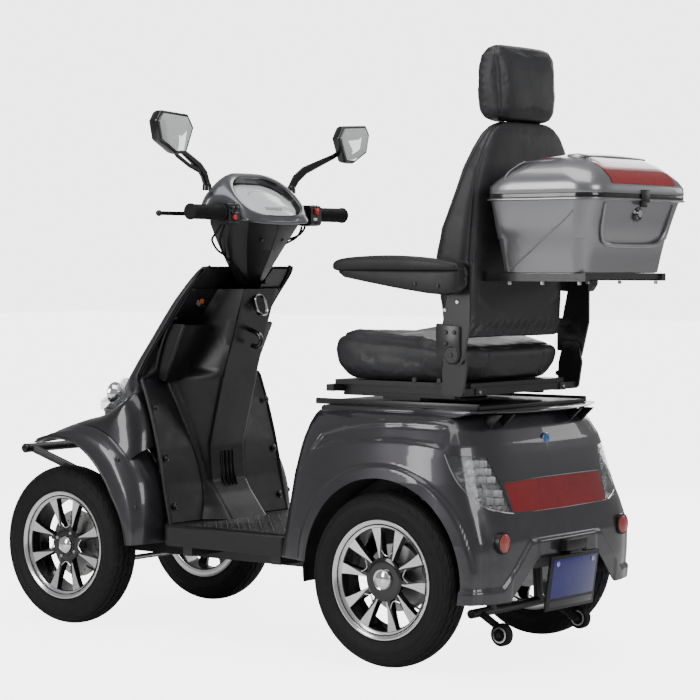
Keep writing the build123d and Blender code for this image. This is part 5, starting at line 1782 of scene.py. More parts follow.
def make_leg_shield_skin():
    """The moulded inner panel: it sweeps from the edges up to the spine in one surface."""
    rows = []
    for j in range(101):
        z = 0.280 + 0.599 * j / 100
        rows.append([shield_point(k / 55 - 1, z) for k in range(111)])
    sheet = loft(rows, closed=False, caps=False)
    bmesh.ops.recalc_face_normals(sheet, faces=sheet.faces)
    probe = max(sheet.faces, key=lambda f: f.calc_area())
    if probe.normal.y < 0:
        bmesh.ops.reverse_faces(sheet, faces=sheet.faces)
    finished("leg_shield_panel", solid(sheet, thickness=0.0025, offset=-1.0), SATIN, "chassis",
             slot="black_plastic", smooth=50)
    vents = []
    for k in range(4):
        x = -0.0225 + 0.015 * k
        path = [shield_point(x / 0.230, z) + Vector((0, 0.0004, 0)) for z in (0.362, 0.39, 0.42, 0.452)]
        vents.append(tube(path, 0.0030, 8))
    finished("leg_shield_vents", joined(*vents), GLOSS_BLACK, "chassis")
    facets = []
    for side in (-1, 1):
        rings = []
        for x, out in ((0.067, -0.001), (0.072, 0.003), (0.123, 0.0105), (0.174, 0.003), (0.180, -0.001)):
            rings.append([Vector((side * x, y, z)) for y, z in (
                (-0.362 + out, 0.7865), (-0.400 + out * 1.2, 0.708), (-0.434 + out, 0.6395), (-0.440, 0.643),
                (-0.370, 0.7865))])
        facets.append(outward(loft(rings)))
    finished("bin_faces", solid(joined(*facets), bevel=0.0015), SATIN, "chassis", slot="black_plastic", smooth=20)


def make_deck_mat():
    """The rubber mat on the deck, with rows of raised lozenges."""
    rings = []
    for z, grow in ((0.2785, 0.0), (0.2805, 0.0), (0.2812, -0.0012)):
        outline = []
        for cx, cy, start in ((0.240, 0.022, 0), (-0.240, 0.022, 90), (-0.240, -0.270, 180), (0.240, -0.270, 270)):
            outline += [Vector((cx + (0.022 + grow) * cos(radians(start + 15 * k)),
                                cy + (0.022 + grow) * sin(radians(start + 15 * k)), z)) for k in range(7)]
        rings.append(outline)
    finished("deck_mat", outward(loft(rings)), FOOT_MAT, "chassis", slot="black_plastic")
    stud = bmesh.new()
    loft([[Vector(p) for p in ((0.0075, 0, 0), (0, 0.0028, 0), (-0.0075, 0, 0), (0, -0.0028, 0))],
          [Vector(p) for p in ((0.0060, 0, 0.0009), (0, 0.0018, 0.0009), (-0.0060, 0, 0.0009),
                               (0, -0.0018, 0.0009))]], bm=stud)
    mesh = bpy.data.meshes.new("lozenge")
    outward(stud, 1e-7).to_mesh(mesh)
    stud.free()
    spots = []
    for i in range(24):
        for j in range(17):
            spots.append((Vector((-0.242 + 0.021 * i, -0.276 + 0.019 * j, 0.2810)), Vector((0, 0, 1)),
                          pi / 4 if (i + j) % 2 else -pi / 4))
    repeated("deck_mat_lozenges", mesh, FOOT_MAT, spots, "chassis")


def make_bins_and_bumper():
    ring = outward(turned([(-0.004, 0.0135), (0.004, 0.0135), (0.006, 0.0155), (0.004, 0.0185), (-0.004, 0.0185)],
                          (0, 0, 0), 32))
    lean = Vector((0, 0.80, 0.60))
    turn = facing_turn(lean, Vector((1, 0, 0))).to_matrix()
    for vert in ring.verts:
        x, y, z = vert.co
        vert.co = Vector((0.120, -0.357, 0.848)) + turn @ Vector((y, z, x))
    finished("power_button_collar", outward(ring), GLOSS_BLACK, "chassis")
    lips = []
    for side in (-1, 1):
        path = [(side * 0.071, -0.410, 0.786), (side * 0.175, -0.410, 0.786), (side * 0.175, -0.364, 0.786)]
        lips.append(tube(path, 0.0035, 8, smooth_path=False))
    finished("bin_lips", joined(*lips), GRAINED, "chassis", slot="black_plastic")
    ends = []
    for side in (-1, 1):
        ends.append(outward(turned([(side * 0.226, 0.0001), (side * 0.226, 0.0128), (side * 0.2325, 0.0128),
                                    (side * 0.2355, 0.0105), (side * 0.2365, 0.0001)], (0, -0.890, 0.447), 24)))
    finished("bumper_ends", joined(*ends), GLOSS_BLACK, "chassis")


make_fenders()
make_fairing()
make_headlamps()
make_leg_shield_trim()
make_leg_shield_skin()
make_deck_mat()
make_bins_and_bumper()


# ---------------------------------------------------------------- steering head
def full_loop(half, count=30):
    """A closed loop from the control points of its left half, front to rear."""
    left = spaced(half, count)
    return left + [Vector((-p.x, p.y, p.z)) for p in reversed(left[1:-1])]


GLASS_EDGE = [(0, -0.296, 1.1500), (0.050, -0.2945, 1.1485), (0.088, -0.278, 1.1345), (0.106, -0.248, 1.1090),
              (0.100, -0.218, 1.0840), (0.070, -0.200, 1.0690), (0.030, -0.196, 1.0662), (0, -0.1955, 1.0660)]
RIM_INNER = [(0, -0.286, 1.1680), (0.054, -0.284, 1.1665), (0.094, -0.267, 1.1505), (0.112, -0.239, 1.1220),
             (0.106, -0.207, 1.0900), (0.073, -0.190, 1.0735), (0.031, -0.187, 1.0705), (0, -0.1865, 1.0700)]
RIM_CREST = [(0, -0.300, 1.1880), (0.066, -0.298, 1.1860), (0.116, -0.278, 1.1670), (0.1375, -0.246, 1.1320),
             (0.130, -0.208, 1.0920), (0.092, -0.187, 1.0660), (0.040, -0.1845, 1.0585), (0, -0.1840, 1.0580)]
HOOD_SHOULDER = [(0, -0.330, 1.1650), (0.076, -0.327, 1.1600), (0.138, -0.312, 1.1400), (0.172, -0.288, 1.1180),
                 (0.1415, -0.246, 1.0980), (0.131, -0.200, 1.0660), (0.070, -0.1845, 1.0560), (0, -0.1830, 1.0530)]
HOOD_LOW = [(0, -0.350, 1.1000), (0.080, -0.349, 1.0990), (0.146, -0.334, 1.0930), (0.1765, -0.300, 1.0850),
            (0.1415, -0.254, 1.0750), (0.130, -0.196, 1.0580), (0.070, -0.1845, 1.0520), (0, -0.1830, 1.0500)]
HOOD_FOOT = [(0, -0.349, 1.0640), (0.080, -0.348, 1.0640), (0.140, -0.333, 1.0640), (0.168, -0.300, 1.0640),
             (0.139, -0.256, 1.0600), (0.129, -0.198, 1.0520), (0.070, -0.187, 1.0470), (0, -0.1855, 1.0450)]


def make_hood():
    shell = loft([full_loop(h) for h in (RIM_INNER, RIM_CREST, HOOD_SHOULDER, HOOD_LOW, HOOD_FOOT)], caps=False)
    outward(shell)
    probe = max(shell.faces, key=lambda f: f.calc_center_median().x)
    if probe.normal.x < 0:
        bmesh.ops.reverse_faces(shell, faces=shell.faces)
    mesh = bpy.data.meshes.new("hood")
    shell.to_mesh(mesh)
    shell.free()
    hood = refined(mesh, thickness=0.003, offset=-1.0, levels=2)
    finished("head_hood", hood, SILVER, "steering", stands_for=["head_cover_upper"], slot="silver_paint", smooth=60)
    inner = [[p + Vector((0, 0, -0.0008)) for p in full_loop(RIM_INNER)], full_loop(GLASS_EDGE)]
    lowered = [Vector((p.x * 1.03, p.y - 0.003, p.z - 0.003)) for p in full_loop(GLASS_EDGE)]
    well = loft([inner[0], inner[1], lowered], caps=False)
    centre = Vector((0, -0.246, 1.108))
    probe = max(well.faces, key=lambda f: f.calc_area())
    if probe.normal.dot(centre - probe.calc_center_median()) < 0:
        bmesh.ops.reverse_faces(well, faces=well.faces)
    finished("display_well", solid(well, thickness=0.0015, offset=-1.0), GLOSS_BLACK, "steering", smooth=50)
    edge = full_loop(GLASS_EDGE)
    rings = []
    normal = Vector((0, 0.643, 0.766))
    for share, rise in ((1.0, -0.004), (0.995, 0.0012), (0.80, 0.0045), (0.45, 0.0068), (0.10, 0.0075)):
        rings.append([centre + (p - centre) * share + normal * rise for p in edge])
    dial = outward(loft(rings))
    finished("display_glass", dial, DIAL, "steering", stands_for=["display"], slot="display_glass", smooth=60)
    bezel = tube([p + normal * 0.0018 for p in edge] + [edge[0] + normal * 0.0018], 0.0022, 8)
    finished("display_bezel", bezel, GLOSS_BLACK, "steering")
    marks = []
    for k in range(11):
        angle = radians(-60 + 12 * k)
        spot = centre + normal * 0.0078 + Vector((0.058 * sin(angle), -0.024 * cos(angle), 0.020 * cos(angle)))
        marks.append((spot, normal, angle))
    tick = extruded([(-0.0032, -0.0006), (0.0032, -0.0006), (0.0032, 0.0006), (-0.0032, 0.0006)], 0.0, 0.0004, "Z")
    mesh = bpy.data.meshes.new("tick")
    tick.to_mesh(mesh)
    tick.free()
    repeated("display_ticks", mesh, GLOSS_BLACK, marks, "steering")


COVER_RINGS = [  # height, half width, front, rear ridge, how far the facets fall away
    (1.0655, 0.129, -0.347, -0.187, 0.014), (1.050, 0.128, -0.348, -0.189, 0.018),
    (1.020, 0.113, -0.346, -0.200, 0.022), (0.980, 0.090, -0.342, -0.218, 0.022),
    (0.940, 0.066, -0.336, -0.238, 0.018), (0.905, 0.044, -0.328, -0.258, 0.012), (0.892, 0.034, -0.322, -0.268, 0.008),
]


def make_lower_cover():
    """The lower cover: two facets that meet in a ridge, narrowing to the column."""
    rings = []
    for z, half, front, rear, fall in COVER_RINGS:
        left = [(0.0, front), (half * 0.6, front + 0.004), (half * 0.92, front + 0.022),
                (half, front + 0.055), (half * 0.97, rear - fall - 0.03), (half * 0.80, rear - fall),
                (half * 0.40, rear - 0.45 * fall), (0.0, rear)]
        rings.append([Vector((x, y, z)) for x, y in left] + [Vector((-x, y, z)) for x, y in reversed(left[1:-1])])
    body = outward(loft(rings))
    cover = solid(body, bevel=0.003, bevel_steps=3)
    finished("head_lower_cover", cover, SATIN, "steering", stands_for=["head_cover_lower"], slot="black_plastic",
             smooth=26)
    line = [(-0.001, rear + 0.0004, z) for z, _, _, rear, _ in COVER_RINGS]
    finished("head_cover_seam", tube(line, 0.0011, 6), GLOSS_BLACK, "steering")
    facing = Vector((0, 0.80, -0.60))
    spots = [(Vector((side * 0.042, -0.2155, 1.006)), facing, 0.3) for side in (-1, 1)]
    repeated("head_cover_screws", screw_head(0.0055, 0.003), BLACK_STEEL, spots, "steering")
    gaiter = []
    for k in range(13):
        z = 0.8925 - 0.0018 * k
        gaiter.append((z, 0.0345 if k % 2 else 0.0300))
    rings = [[Vector((r * cos(a), -0.295 + r * sin(a), z)) for a in (2 * pi * k / 32 for k in range(32))]
             for z, r in gaiter]
    finished("column_gaiter", outward(loft(rings)), GRIP_RUBBER, "steering", slot="black_rubber")


def elongated(half_long, radius, steps=10):
    """An upright rounded slot: (across, up) points."""
    path = [(radius * cos(a), half_long + radius * sin(a)) for a in (pi * k / steps for k in range(steps + 1))]
    return path + [(-x, -z) for x, z in path]


def make_key_plate():
    """The bright elongated key ring on the column cover and the bag hook below it."""
    lean = Vector((0, 0.945, 0.325)).normalized()
    turn = facing_turn(lean, Vector((1, 0, 0))).to_matrix()
    up = lean.cross(Vector((1, 0, 0))).normalized()
    if up.z < 0:
        up = -up
    middle = Vector((0, -0.252, 0.838))
    ring = [middle + Vector((x, 0, 0)) + up * z for x, z in elongated(0.008, 0.0205)]
    finished("key_ring", tube([*ring, ring[0]], 0.0024, 10), CHROME, "chassis")
    for_plate = [[middle + (p - middle) * s + lean * d for p in ring] for s, d in ((0.95, -0.012), (0.95, -0.0015),
                                                                                 (0.5, -0.0015))]
    finished("key_plate", outward(loft(for_plate)), GLOSS_BLACK, "chassis")
    hook = [(0, -0.292, 0.772), (0, -0.268, 0.766), (0, -0.252, 0.752), (0, -0.2545, 0.734), (0, -0.270, 0.726),
            (0, -0.284, 0.732)]
    finished("bag_hook", tube(hook, 0.0062, 12), GLOSS_BLACK, "chassis")


def make_grips():
    """Ribbed grips with a flange and a plug."""
    for side, body, name, node in ((1, "steering", "left", None), (-1, "throttle", "right", "throttle_grip")):
        profile = [(0.189, 0.0001), (0.189, 0.0215), (0.1935, 0.0222), (0.1955, 0.0205), (0.1965, 0.0178)]
        count = 17
        for k in range(count):
            x = 0.1985 + 0.0060 * k
            profile += [(x, 0.0176), (x + 0.0012, 0.0189), (x + 0.0034, 0.0189), (x + 0.0046, 0.0176)]
        profile += [(0.3025, 0.0185), (0.3045, 0.0208), (0.3085, 0.0208), (0.3105, 0.0192), (0.3112, 0.0100),
                    (0.3095, 0.0085), (0.3095, 0.0001)]
        grip = outward(turned([(side * x, r) for x, r in profile], (0, -0.225, 1.075), 48))
        finished(f"grip_{name}", grip, GRIP_RUBBER, body, stands_for=[node] if node else [], slot="black_rubber",
                 smooth=30)


def pill(x, y, z, wide, deep, tall, round_off, facing_rear=True):
    bm = extruded([(x - wide / 2, z - tall / 2), (x + wide / 2, z - tall / 2), (x + wide / 2, z + tall / 2),
                   (x - wide / 2, z + tall / 2)], y - deep / 2, y + deep / 2, "Y")
    return bm_of(solid(bm, bevel=round_off, bevel_steps=3))


def make_switches():
    left = [pill(0.158, -0.2000, 1.087, 0.012, 0.006, 0.008, 0.0015), pill(0.174, -0.2000, 1.087, 0.012, 0.006, 0.008,
            0.0015), pill(0.166, -0.2000, 1.073, 0.024, 0.006, 0.007, 0.0015)]
    finished("switch_rockers", joined(*left), GLOSS_BLACK, "steering")
    finished("switch_red_button", pill(-0.164, -0.1985, 1.083, 0.012, 0.008, 0.016, 0.0018), RED_BUTTON, "steering")
    finished("switch_pale_button", pill(-0.160, -0.2000, 1.062, 0.013, 0.006, 0.008, 0.0015), DIAL, "steering")
    seams = []
    for side in (-1, 1):
        loop = [(side * 0.166, y, z) for y, z in ((-0.2515, 1.0445), (-0.2005, 1.0445), (-0.2005, 1.0995),
                                                   (-0.2515, 1.0995), (-0.2515, 1.0445))]
        seams.append(tube(loop, 0.0007, 6, smooth_path=False))
    finished("switch_block_seams", joined(*seams), GRIP_RUBBER, "steering")


MIRROR_OUTLINE = [(-0.069, 0.016), (-0.048, 0.048), (0.052, 0.054), (0.068, 0.030), (0.056, -0.020), (-0.004, -0.052),
                  (-0.040, -0.050)]


def arm(route):
    """A flattened bar that tapers along its route of (x, y, z, half width)."""
    rings = []
    for k, (x, y, z, half) in enumerate(route):
        before, after = Vector(route[max(0, k - 1)][:3]), Vector(route[min(len(route) - 1, k + 1)][:3])
        along = (after - before).normalized()
        across = along.cross(Vector((0, 1, 0))).normalized()
        deep = along.cross(across).normalized()
        rings.append([Vector((x, y, z)) + across * half * a + deep * half * 0.62 * b for a, b in (
            (1, 0.5), (0.6, 1), (-0.6, 1), (-1, 0.5), (-1, -0.5), (-0.6, -1), (0.6, -1), (1, -0.5))])
    return outward(loft(rings))


def make_mirror(side, body, node, name):
    """A hexagonal shell, thick at its back, with glass set in a rim, on a bent stem. The glass is only partly metallic,
    so its near-white base shows as a diffuse face: a painted reflection.
    """
    centre = Vector((0.362, -0.238, 1.268))

    def ring(grow, y, shift=0.0):
        return [Vector((side * (centre.x + x * grow + shift), centre.y + y, centre.z + z * grow))
                for x, z in MIRROR_OUTLINE]

    shell = outward(loft([ring(0.90, 0.0135), ring(0.975, 0.0150), ring(1.0, 0.0110), ring(1.0, -0.004),
                          ring(0.93, -0.016, 0.002), ring(0.62, -0.026, 0.006)]))
    mesh = solid(shell, bevel=0.0035, bevel_steps=3)
    base = outward(turned([(-0.010, 0.0001), (-0.010, 0.0125), (0.004, 0.0115), (0.010, 0.0085), (0.012, 0.0001)],
                          (0, 0, 0), 24))
    for vert in base.verts:
        x, y, z = vert.co
        vert.co = Vector((side * 0.170 + y, -0.290 + z, 1.142 + x))
    route = [(0.170, -0.290, 1.146, 0.0105), (0.186, -0.286, 1.172, 0.0115), (0.214, -0.280, 1.194, 0.0105),
             (0.262, -0.270, 1.214, 0.0085), (0.312, -0.260, 1.234, 0.0065), (0.346, -0.2545, 1.252, 0.0060)]
    stem = arm([(side * x, y, z, r) for x, y, z, r in route])
    brace = arm([(side * x, y, z, r) for x, y, z, r in (
        (0.200, -0.283, 1.180, 0.0070), (0.262, -0.268, 1.192, 0.0050), (0.318, -0.258, 1.214, 0.0050),
        (0.352, -0.2545, 1.240, 0.0060))])
    web = outward(loft([[Vector((side * x, y, z)) for x, y, z in ((0.334, -0.248, 1.236), (0.372, -0.248, 1.236),
                                                                (0.376, -0.262, 1.240), (0.334, -0.262, 1.240))],
                        [Vector((side * x, y, z)) for x, y, z in ((0.326, -0.246, 1.262), (0.388, -0.246, 1.262),
                                                                (0.386, -0.260, 1.262), (0.328, -0.260, 1.262))]]))
    parts = [bm_of(mesh), base, stem, web] + ([brace] if side > 0 else [])
    if side < 0:
        brace.free()
    finished(f"mirror_{name}_shell", joined(*parts), GLOSS_BLACK, body, stands_for=[node], slot="black_plastic",
             smooth=30)
    glass = outward(loft([ring(0.86, 0.0120), ring(0.86, 0.0158), ring(0.84, 0.0162)]))
    finished(f"mirror_{name}_glass", glass, MIRROR_PAINTED_REFLECTION, body, smooth=20)


make_hood()
make_lower_cover()
make_key_plate()
make_grips()
make_switches()
make_mirror(1, "mirror_left", "mirror_left", "left")
make_mirror(-1, "mirror_right", "mirror_right", "right")


# ---------------------------------------------------------------- top box
def rounded_ring(half, front, rear, z, corner, steps=8):
    """A level rounded rectangle."""
    points = []
    for cx, cy, start in ((half - corner, rear - corner, 0), (-half + corner, rear - corner, 90),
                          (-half + corner, front + corner, 180), (half - corner, front + corner, 270)):
        for k in range(steps + 1):
            angle = radians(start + 90 * k / steps)
            points.append(Vector((cx + corner * cos(angle), cy + corner * sin(angle), z)))
    full = []
    for k, p in enumerate(points):
        after = points[(k + 1) % len(points)]
        parts = 12 if (k + 1) % (steps + 1) == 0 else 1
        full += [p.lerp(after, j / parts) for j in range(parts)]
    return full


def make_box_body():
    rings = []
    for z, half, front, rear, corner in (
        (0.9225, 0.168, 0.622, 0.838, 0.030), (0.9245, 0.175, 0.614, 0.846, 0.034), (0.960, 0.184, 0.609, 0.853, 0.042),
        (1.000, 0.1925, 0.604, 0.861, 0.046), (1.003, 0.1955, 0.602, 0.863, 0.046), (1.040, 0.203, 0.598, 0.873, 0.048),
        (1.075, 0.2095, 0.594, 0.884, 0.050), (1.089, 0.2115, 0.592, 0.889, 0.050),
    ):
        rings.append(rounded_ring(half, front, rear, z, corner))
    outer = loft(rings, caps=False)
    bmesh.ops.recalc_face_normals(outer, faces=outer.faces)
    probe = max(outer.faces, key=lambda f: f.calc_center_median().x)
    if probe.normal.x < 0:
        bmesh.ops.reverse_faces(outer, faces=outer.faces)
    walls = bm_of(solid(outer, thickness=0.0035, offset=-1.0))
    floor = outward(loft([rounded_ring(0.170, 0.619, 0.841, z, 0.030) for z in (0.9225, 0.9265)]))
    finished("box_tub", joined(walls, floor), BOX_SILVER, "backrest", stands_for=["box_body"], slot="silver_paint",
             smooth=35)
    lip = []
    for grow, z in ((-0.004, 1.0885), (0.007, 1.0890), (0.0092, 1.0905), (0.0092, 1.0930), (0.0070, 1.0945),
                    (-0.002, 1.0945), (-0.004, 1.0930)):
        lip.append(rounded_ring(0.2115 + grow, 0.592 - grow * 0.55, 0.892 + grow, z, 0.052))
    band = loft([*lip, lip[0]], caps=False)
    bmesh.ops.remove_doubles(band, verts=band.verts, dist=1e-6)
    finished("box_lip", outward(band), BOX_SILVER, "backrest", slot="silver_paint", smooth=40)
    seal = []
    for grow, z in ((-0.003, 1.0940), (0.0068, 1.0940), (0.0074, 1.0990), (0.0068, 1.1036), (-0.003, 1.1036)):
        seal.append(rounded_ring(0.2115 + grow, 0.592 - grow * 0.55, 0.892 + grow, z, 0.052))
    rubber_band = loft([*seal, seal[0]], caps=False)
    bmesh.ops.remove_doubles(rubber_band, verts=rubber_band.verts, dist=1e-6)
    finished("box_seal", outward(rubber_band), GLOSS_BLACK, "backrest", smooth=40)
    frame_line = [(-0.152, 1.082), (-0.147, 1.045), (-0.140, 1.012), (-0.120, 0.990), (-0.080, 0.986), (0.0, 0.985),
                  (0.080, 0.986), (0.120, 0.990), (0.140, 1.012), (0.147, 1.045), (0.152, 1.082)]
    frame_points = [(x, 0.8465 + (z - 0.9245) * 0.2585 + 0.0005, z) for x, z in frame_line]
    finished("box_rear_panel", tube(frame_points, 0.0045, 12), BOX_SILVER, "backrest", slot="silver_paint")
    latch = joined(pill(0, 0.9015, 1.0995, 0.034, 0.006, 0.030, 0.0025), pill(0, 0.8960, 1.081, 0.026, 0.008, 0.014,
                   0.002))
    finished("box_latch", latch, SATIN, "backrest")
    creases = []
    for side in (-1, 1):
        creases.append(tube([(side * 0.1790, 0.650, 0.9335), (side * 0.1862, 0.690, 0.9600), (side * 0.1955, 0.745, 0.9990),
                             (side * 0.2045, 0.810, 1.0420), (side * 0.2085, 0.835, 1.0640)], 0.0018, 8))
    finished("box_side_creases", joined(*creases), BOX_SILVER, "backrest")


LID_LEVELS = [  # height, half width, front, rear, corner
    (1.1046, 0.2175, 0.5925, 0.8995, 0.052), (1.1075, 0.2190, 0.5920, 0.9000, 0.052),
    (1.1220, 0.2190, 0.5925, 0.9000, 0.056), (1.1380, 0.2140, 0.6080, 0.8920, 0.062),
    (1.1540, 0.2040, 0.6250, 0.8780, 0.068), (1.1700, 0.1870, 0.6500, 0.8580, 0.070),
    (1.1820, 0.1660, 0.6730, 0.8340, 0.068), (1.1890, 0.1400, 0.6920, 0.8060, 0.050),
    (1.1920, 0.1050, 0.7100, 0.7820, 0.034),
]


def make_lid():
    rings = [rounded_ring(half, front, rear, z, corner) for z, half, front, rear, corner in LID_LEVELS]
    skin = loft(rings, caps=False)
    top = [v for v in skin.verts if abs(v.co.z - 1.192) < 1e-5]
    bmesh.ops.contextual_create(skin, geom=top)
    for vert in skin.verts:
        x, y, z = vert.co
        hump = (1 - step(abs(x), 0.118, 0.150)) * step(z, 1.16, 1.185)
        vert.co.z += 0.004 * hump * step(y, 0.70, 0.78)
    bmesh.ops.recalc_face_normals(skin, faces=skin.faces)
    probe = max(skin.faces, key=lambda f: f.calc_center_median().z)
    if probe.normal.z < 0:
        bmesh.ops.reverse_faces(skin, faces=skin.faces)
    shell = solid(skin, thickness=0.0032, offset=-1.0)
    finished("lid_shell", shell, BOX_SILVER, "box_lid", stands_for=["box_lid"], slot="silver_paint", smooth=50)
    creases = []
    for side in (-1, 1):
        creases.append(tube([(side * 0.150, 0.647, 1.1745), (side * 0.168, 0.700, 1.1805), (side * 0.1675, 0.760, 1.1812),
                             (side * 0.152, 0.820, 1.1790), (side * 0.120, 0.852, 1.1735)], 0.0016, 8))
        creases.append(tube([(side * 0.2165, 0.655, 1.1180), (side * 0.2120, 0.650, 1.1390), (side * 0.1960, 0.660, 1.1620),
                             (side * 0.1720, 0.684, 1.1795)], 0.0014, 8))
    finished("lid_creases", joined(*creases), BOX_SILVER, "box_lid")
    handle = []
    for k in range(13):
        t = k / 12
        x = -0.135 + 0.27 * t
        rise = 0.0025 * sin(pi * t)
        handle.append([Vector(p) for p in ((x, 0.772, 1.190), (x, 0.775, 1.1950 + rise), (x, 0.800, 1.1965 + rise),
                                           (x, 0.822, 1.1915 + rise), (x, 0.820, 1.1845))])
    finished("lid_handle", solid(outward(loft(handle)), bevel=0.002), BOX_SILVER, "box_lid", slot="silver_paint")
    # A gloss-black wedge closes the gap under the handle's rear lip: painted shadow.
    handle_shadow_wedge = outward(loft([[Vector((x, y, z)) for y, z in ((0.818, 1.1780), (0.834, 1.1735), (0.840, 1.1775),
                                                        (0.820, 1.1880))] for x in (-0.130, 0.130)]))
    finished("lid_handle_gap", handle_shadow_wedge, GLOSS_BLACK, "box_lid")
    make_lens([rounded_ring(half + 0.0012, front, rear + 0.0012, z + 0.0012, corner)
               for z, half, front, rear, corner in LID_LEVELS])


LENS_PLAN = [(0.0, 0.838), (0.060, 0.835), (0.090, 0.816), (0.106, 0.752), (0.113, 0.655), (0.126, 0.720),
             (0.132, 0.800), (0.139, 0.860), (0.141, 0.915)]


def make_lens(rings):
    """The red lamp lens that wraps over the lid's rear edge, with two horns that run forward."""
    skin = loft(rings)
    outward(skin)
    mesh = bpy.data.meshes.new("lens")
    skin.to_mesh(mesh)
    skin.free()
    outline = [Vector((x, y, 0)) for x, y in LENS_PLAN]
    outline += [Vector((-p.x, p.y, 0)) for p in reversed(outline[1:])]
    prism = outward(loft([[Vector((p.x, p.y, z)) for p in outline] for z in (1.127, 1.22)]))
    cutter = tool(prism)
    part = overlap(mesh, cutter, "INTERSECT")
    bpy.data.objects.remove(cutter)
    finished("lid_lens", part, RED_CLEAR, "box_lid", stands_for=["box_lens"], slot="red_lens", smooth=30)


def make_lock():
    escutcheon = []
    for r, y in ((0.0001, 0.8775), (0.0190, 0.8775), (0.0195, 0.8815), (0.0150, 0.8845), (0.0095, 0.8820),
                 (0.0001, 0.8820)):
        escutcheon.append([Vector((r * cos(a), y, 1.060 + r * sin(a))) for a in (2 * pi * k / 32 for k in range(32))])
    finished("lock_escutcheon", outward(loft(escutcheon)), GLOSS_BLACK, "backrest")


make_box_body()
make_lid()
make_lock()


# ---------------------------------------------------------------- brackets, bolts and small wheels
def disc_x(x0, x1, radius, y, z, round_off=0.002, steps=28):
    """A round boss along X with its outer edge eased."""
    sign = 1 if x1 > x0 else -1
    return outward(turned([(x0, 0.0001), (x0, radius), (x1 - sign * round_off, radius), (x1, radius - round_off),
                           (x1, 0.0001)], (0, y, z), steps))


def make_recliner_details():
    """On each backrest plate: the hinge housing and its disc, two rivets and the bolts of the wedge below."""
    housings, discs, rivets, bolts = [], [], [], []
    for side in (-1, 1):
        outline = [(0.498, 0.728), (0.566, 0.728), (0.566, 0.800), (0.498, 0.806)]
        cover = extruded(outline, min(side * 0.252, side * 0.2665), max(side * 0.252, side * 0.2665), "X")
        housings.append(bm_of(solid(cover, bevel=0.003, bevel_steps=2)))
        discs.append(disc_x(side * 0.252, side * 0.2690, 0.021, 0.544, 0.733, 0.003, 36))
        discs.append(disc_x(side * 0.252, side * 0.2665, 0.026, 0.560, 0.918, 0.004, 36))
        for y, z in ((0.521, 0.837), (0.556, 0.856)):
            rivets.append((Vector((side * 0.2602, y, z)), Vector((side, 0, 0)), 0.2))
        for y, z in ((0.528, 0.760), (0.528, 0.786), (0.552, 0.786)):
            bolts.append((Vector((side * 0.2668, y, z)), Vector((side, 0, 0)), 0.5))
        for y, z in ((0.544, 0.733),):
            bolts.append((Vector((side * 0.2680, y, z)), Vector((side, 0, 0)), 0.1))
    finished("recliner_housings", joined(*housings), BLACK_STEEL, "backrest", slot="black_steel")
    finished("recliner_discs", joined(*discs), BLACK_STEEL, "backrest", slot="black_steel", smooth=30)
    repeated("backrest_rivets", shallow_button(0.0050, 0.0028), ZINC, rivets, "backrest")
    repeated("recliner_bolts", bolt_head(0.0052, 0.0035), BLACK_STEEL, bolts, "backrest")
    wedge = []
    for side in (-1, 1):
        for y in (0.429, 0.500):
            wedge.append((Vector((side * 0.2522, y, 0.672)), Vector((side, 0, 0)), 0.3))
    repeated("seat_ear_bolts", bolt_head(0.0068, 0.0048), BLACK_STEEL, wedge, "seat")


def make_rail_details():
    """The fixed base under the swivel, the channel rails' ends and their stops."""
    base = extruded([(-0.235, 0.118), (0.235, 0.118), (0.235, 0.596), (-0.235, 0.596)], 0.6045, 0.6125, "Z")
    rims = []
    for side in (-1, 1):
        rims.append(extruded([(side * 0.228, 0.118), (side * 0.2365, 0.118), (side * 0.2365, 0.596),
                              (side * 0.228, 0.596)], 0.6045, 0.6190, "Z"))
    finished("seat_base_plate", solid(joined(base, *rims), bevel=0.0012), BLACK_STEEL, "chassis", slot="black_steel")
    ends = []
    for side in (-1, 1):
        for y in (0.1435, 0.5615):
            ends.append(pill(side * 0.180, y, 0.6440, 0.027, 0.004, 0.018, 0.001))
    finished("rail_end_plates", joined(*ends), BLACK_STEEL, "seat", slot="black_steel")
    spots = [(Vector((side * 0.180, 0.5632, 0.6440)), Vector((0, 1, 0)), 0.2) for side in (-1, 1)]
    repeated("rail_end_bolts", bolt_head(0.0048, 0.0035), ZINC, spots, "seat")


def make_rack_bolts():
    spots = []
    for side in (-1, 1):
        for y in (0.640, 0.730, 0.830):
            spots.append((Vector((side * 0.170, y, 0.9035)), Vector((0, 0, -1)), 0.4))
    repeated("rack_bolts", bolt_head(0.0050, 0.0075), ZINC, spots, "backrest")


def make_anti_tip_details():
    """The bright hub rings of the two small rear wheels."""
    for side, name in ((1, "left"), (-1, "right")):
        corners = [Vector(c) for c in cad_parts[f"anti_tip_wheel_{name}"].bound_box]
        low, high = corners[0], corners[6]
        centre = (low + high) / 2
        half, radius = (high.x - low.x) / 2, (high.z - low.z) / 2
        rings = []
        for end in (-1, 1):
            face = end * half
            rings.append(outward(turned([(face - end * 0.004, radius * 0.52), (face - end * 0.004, radius * 0.74),
                                         (face + end * 0.0012, radius * 0.70), (face + end * 0.0012, radius * 0.56)],
                                        tuple(centre), 40)))
        finished(f"anti_tip_rings_{name}", joined(*rings), SILVER_RING, f"anti_tip_{name}")


SILVER_RING = polished("bright_plastic_ring", (0.75, 0.76, 0.78), 0.22)
make_recliner_details()
make_rail_details()
make_rack_bolts()
make_anti_tip_details()


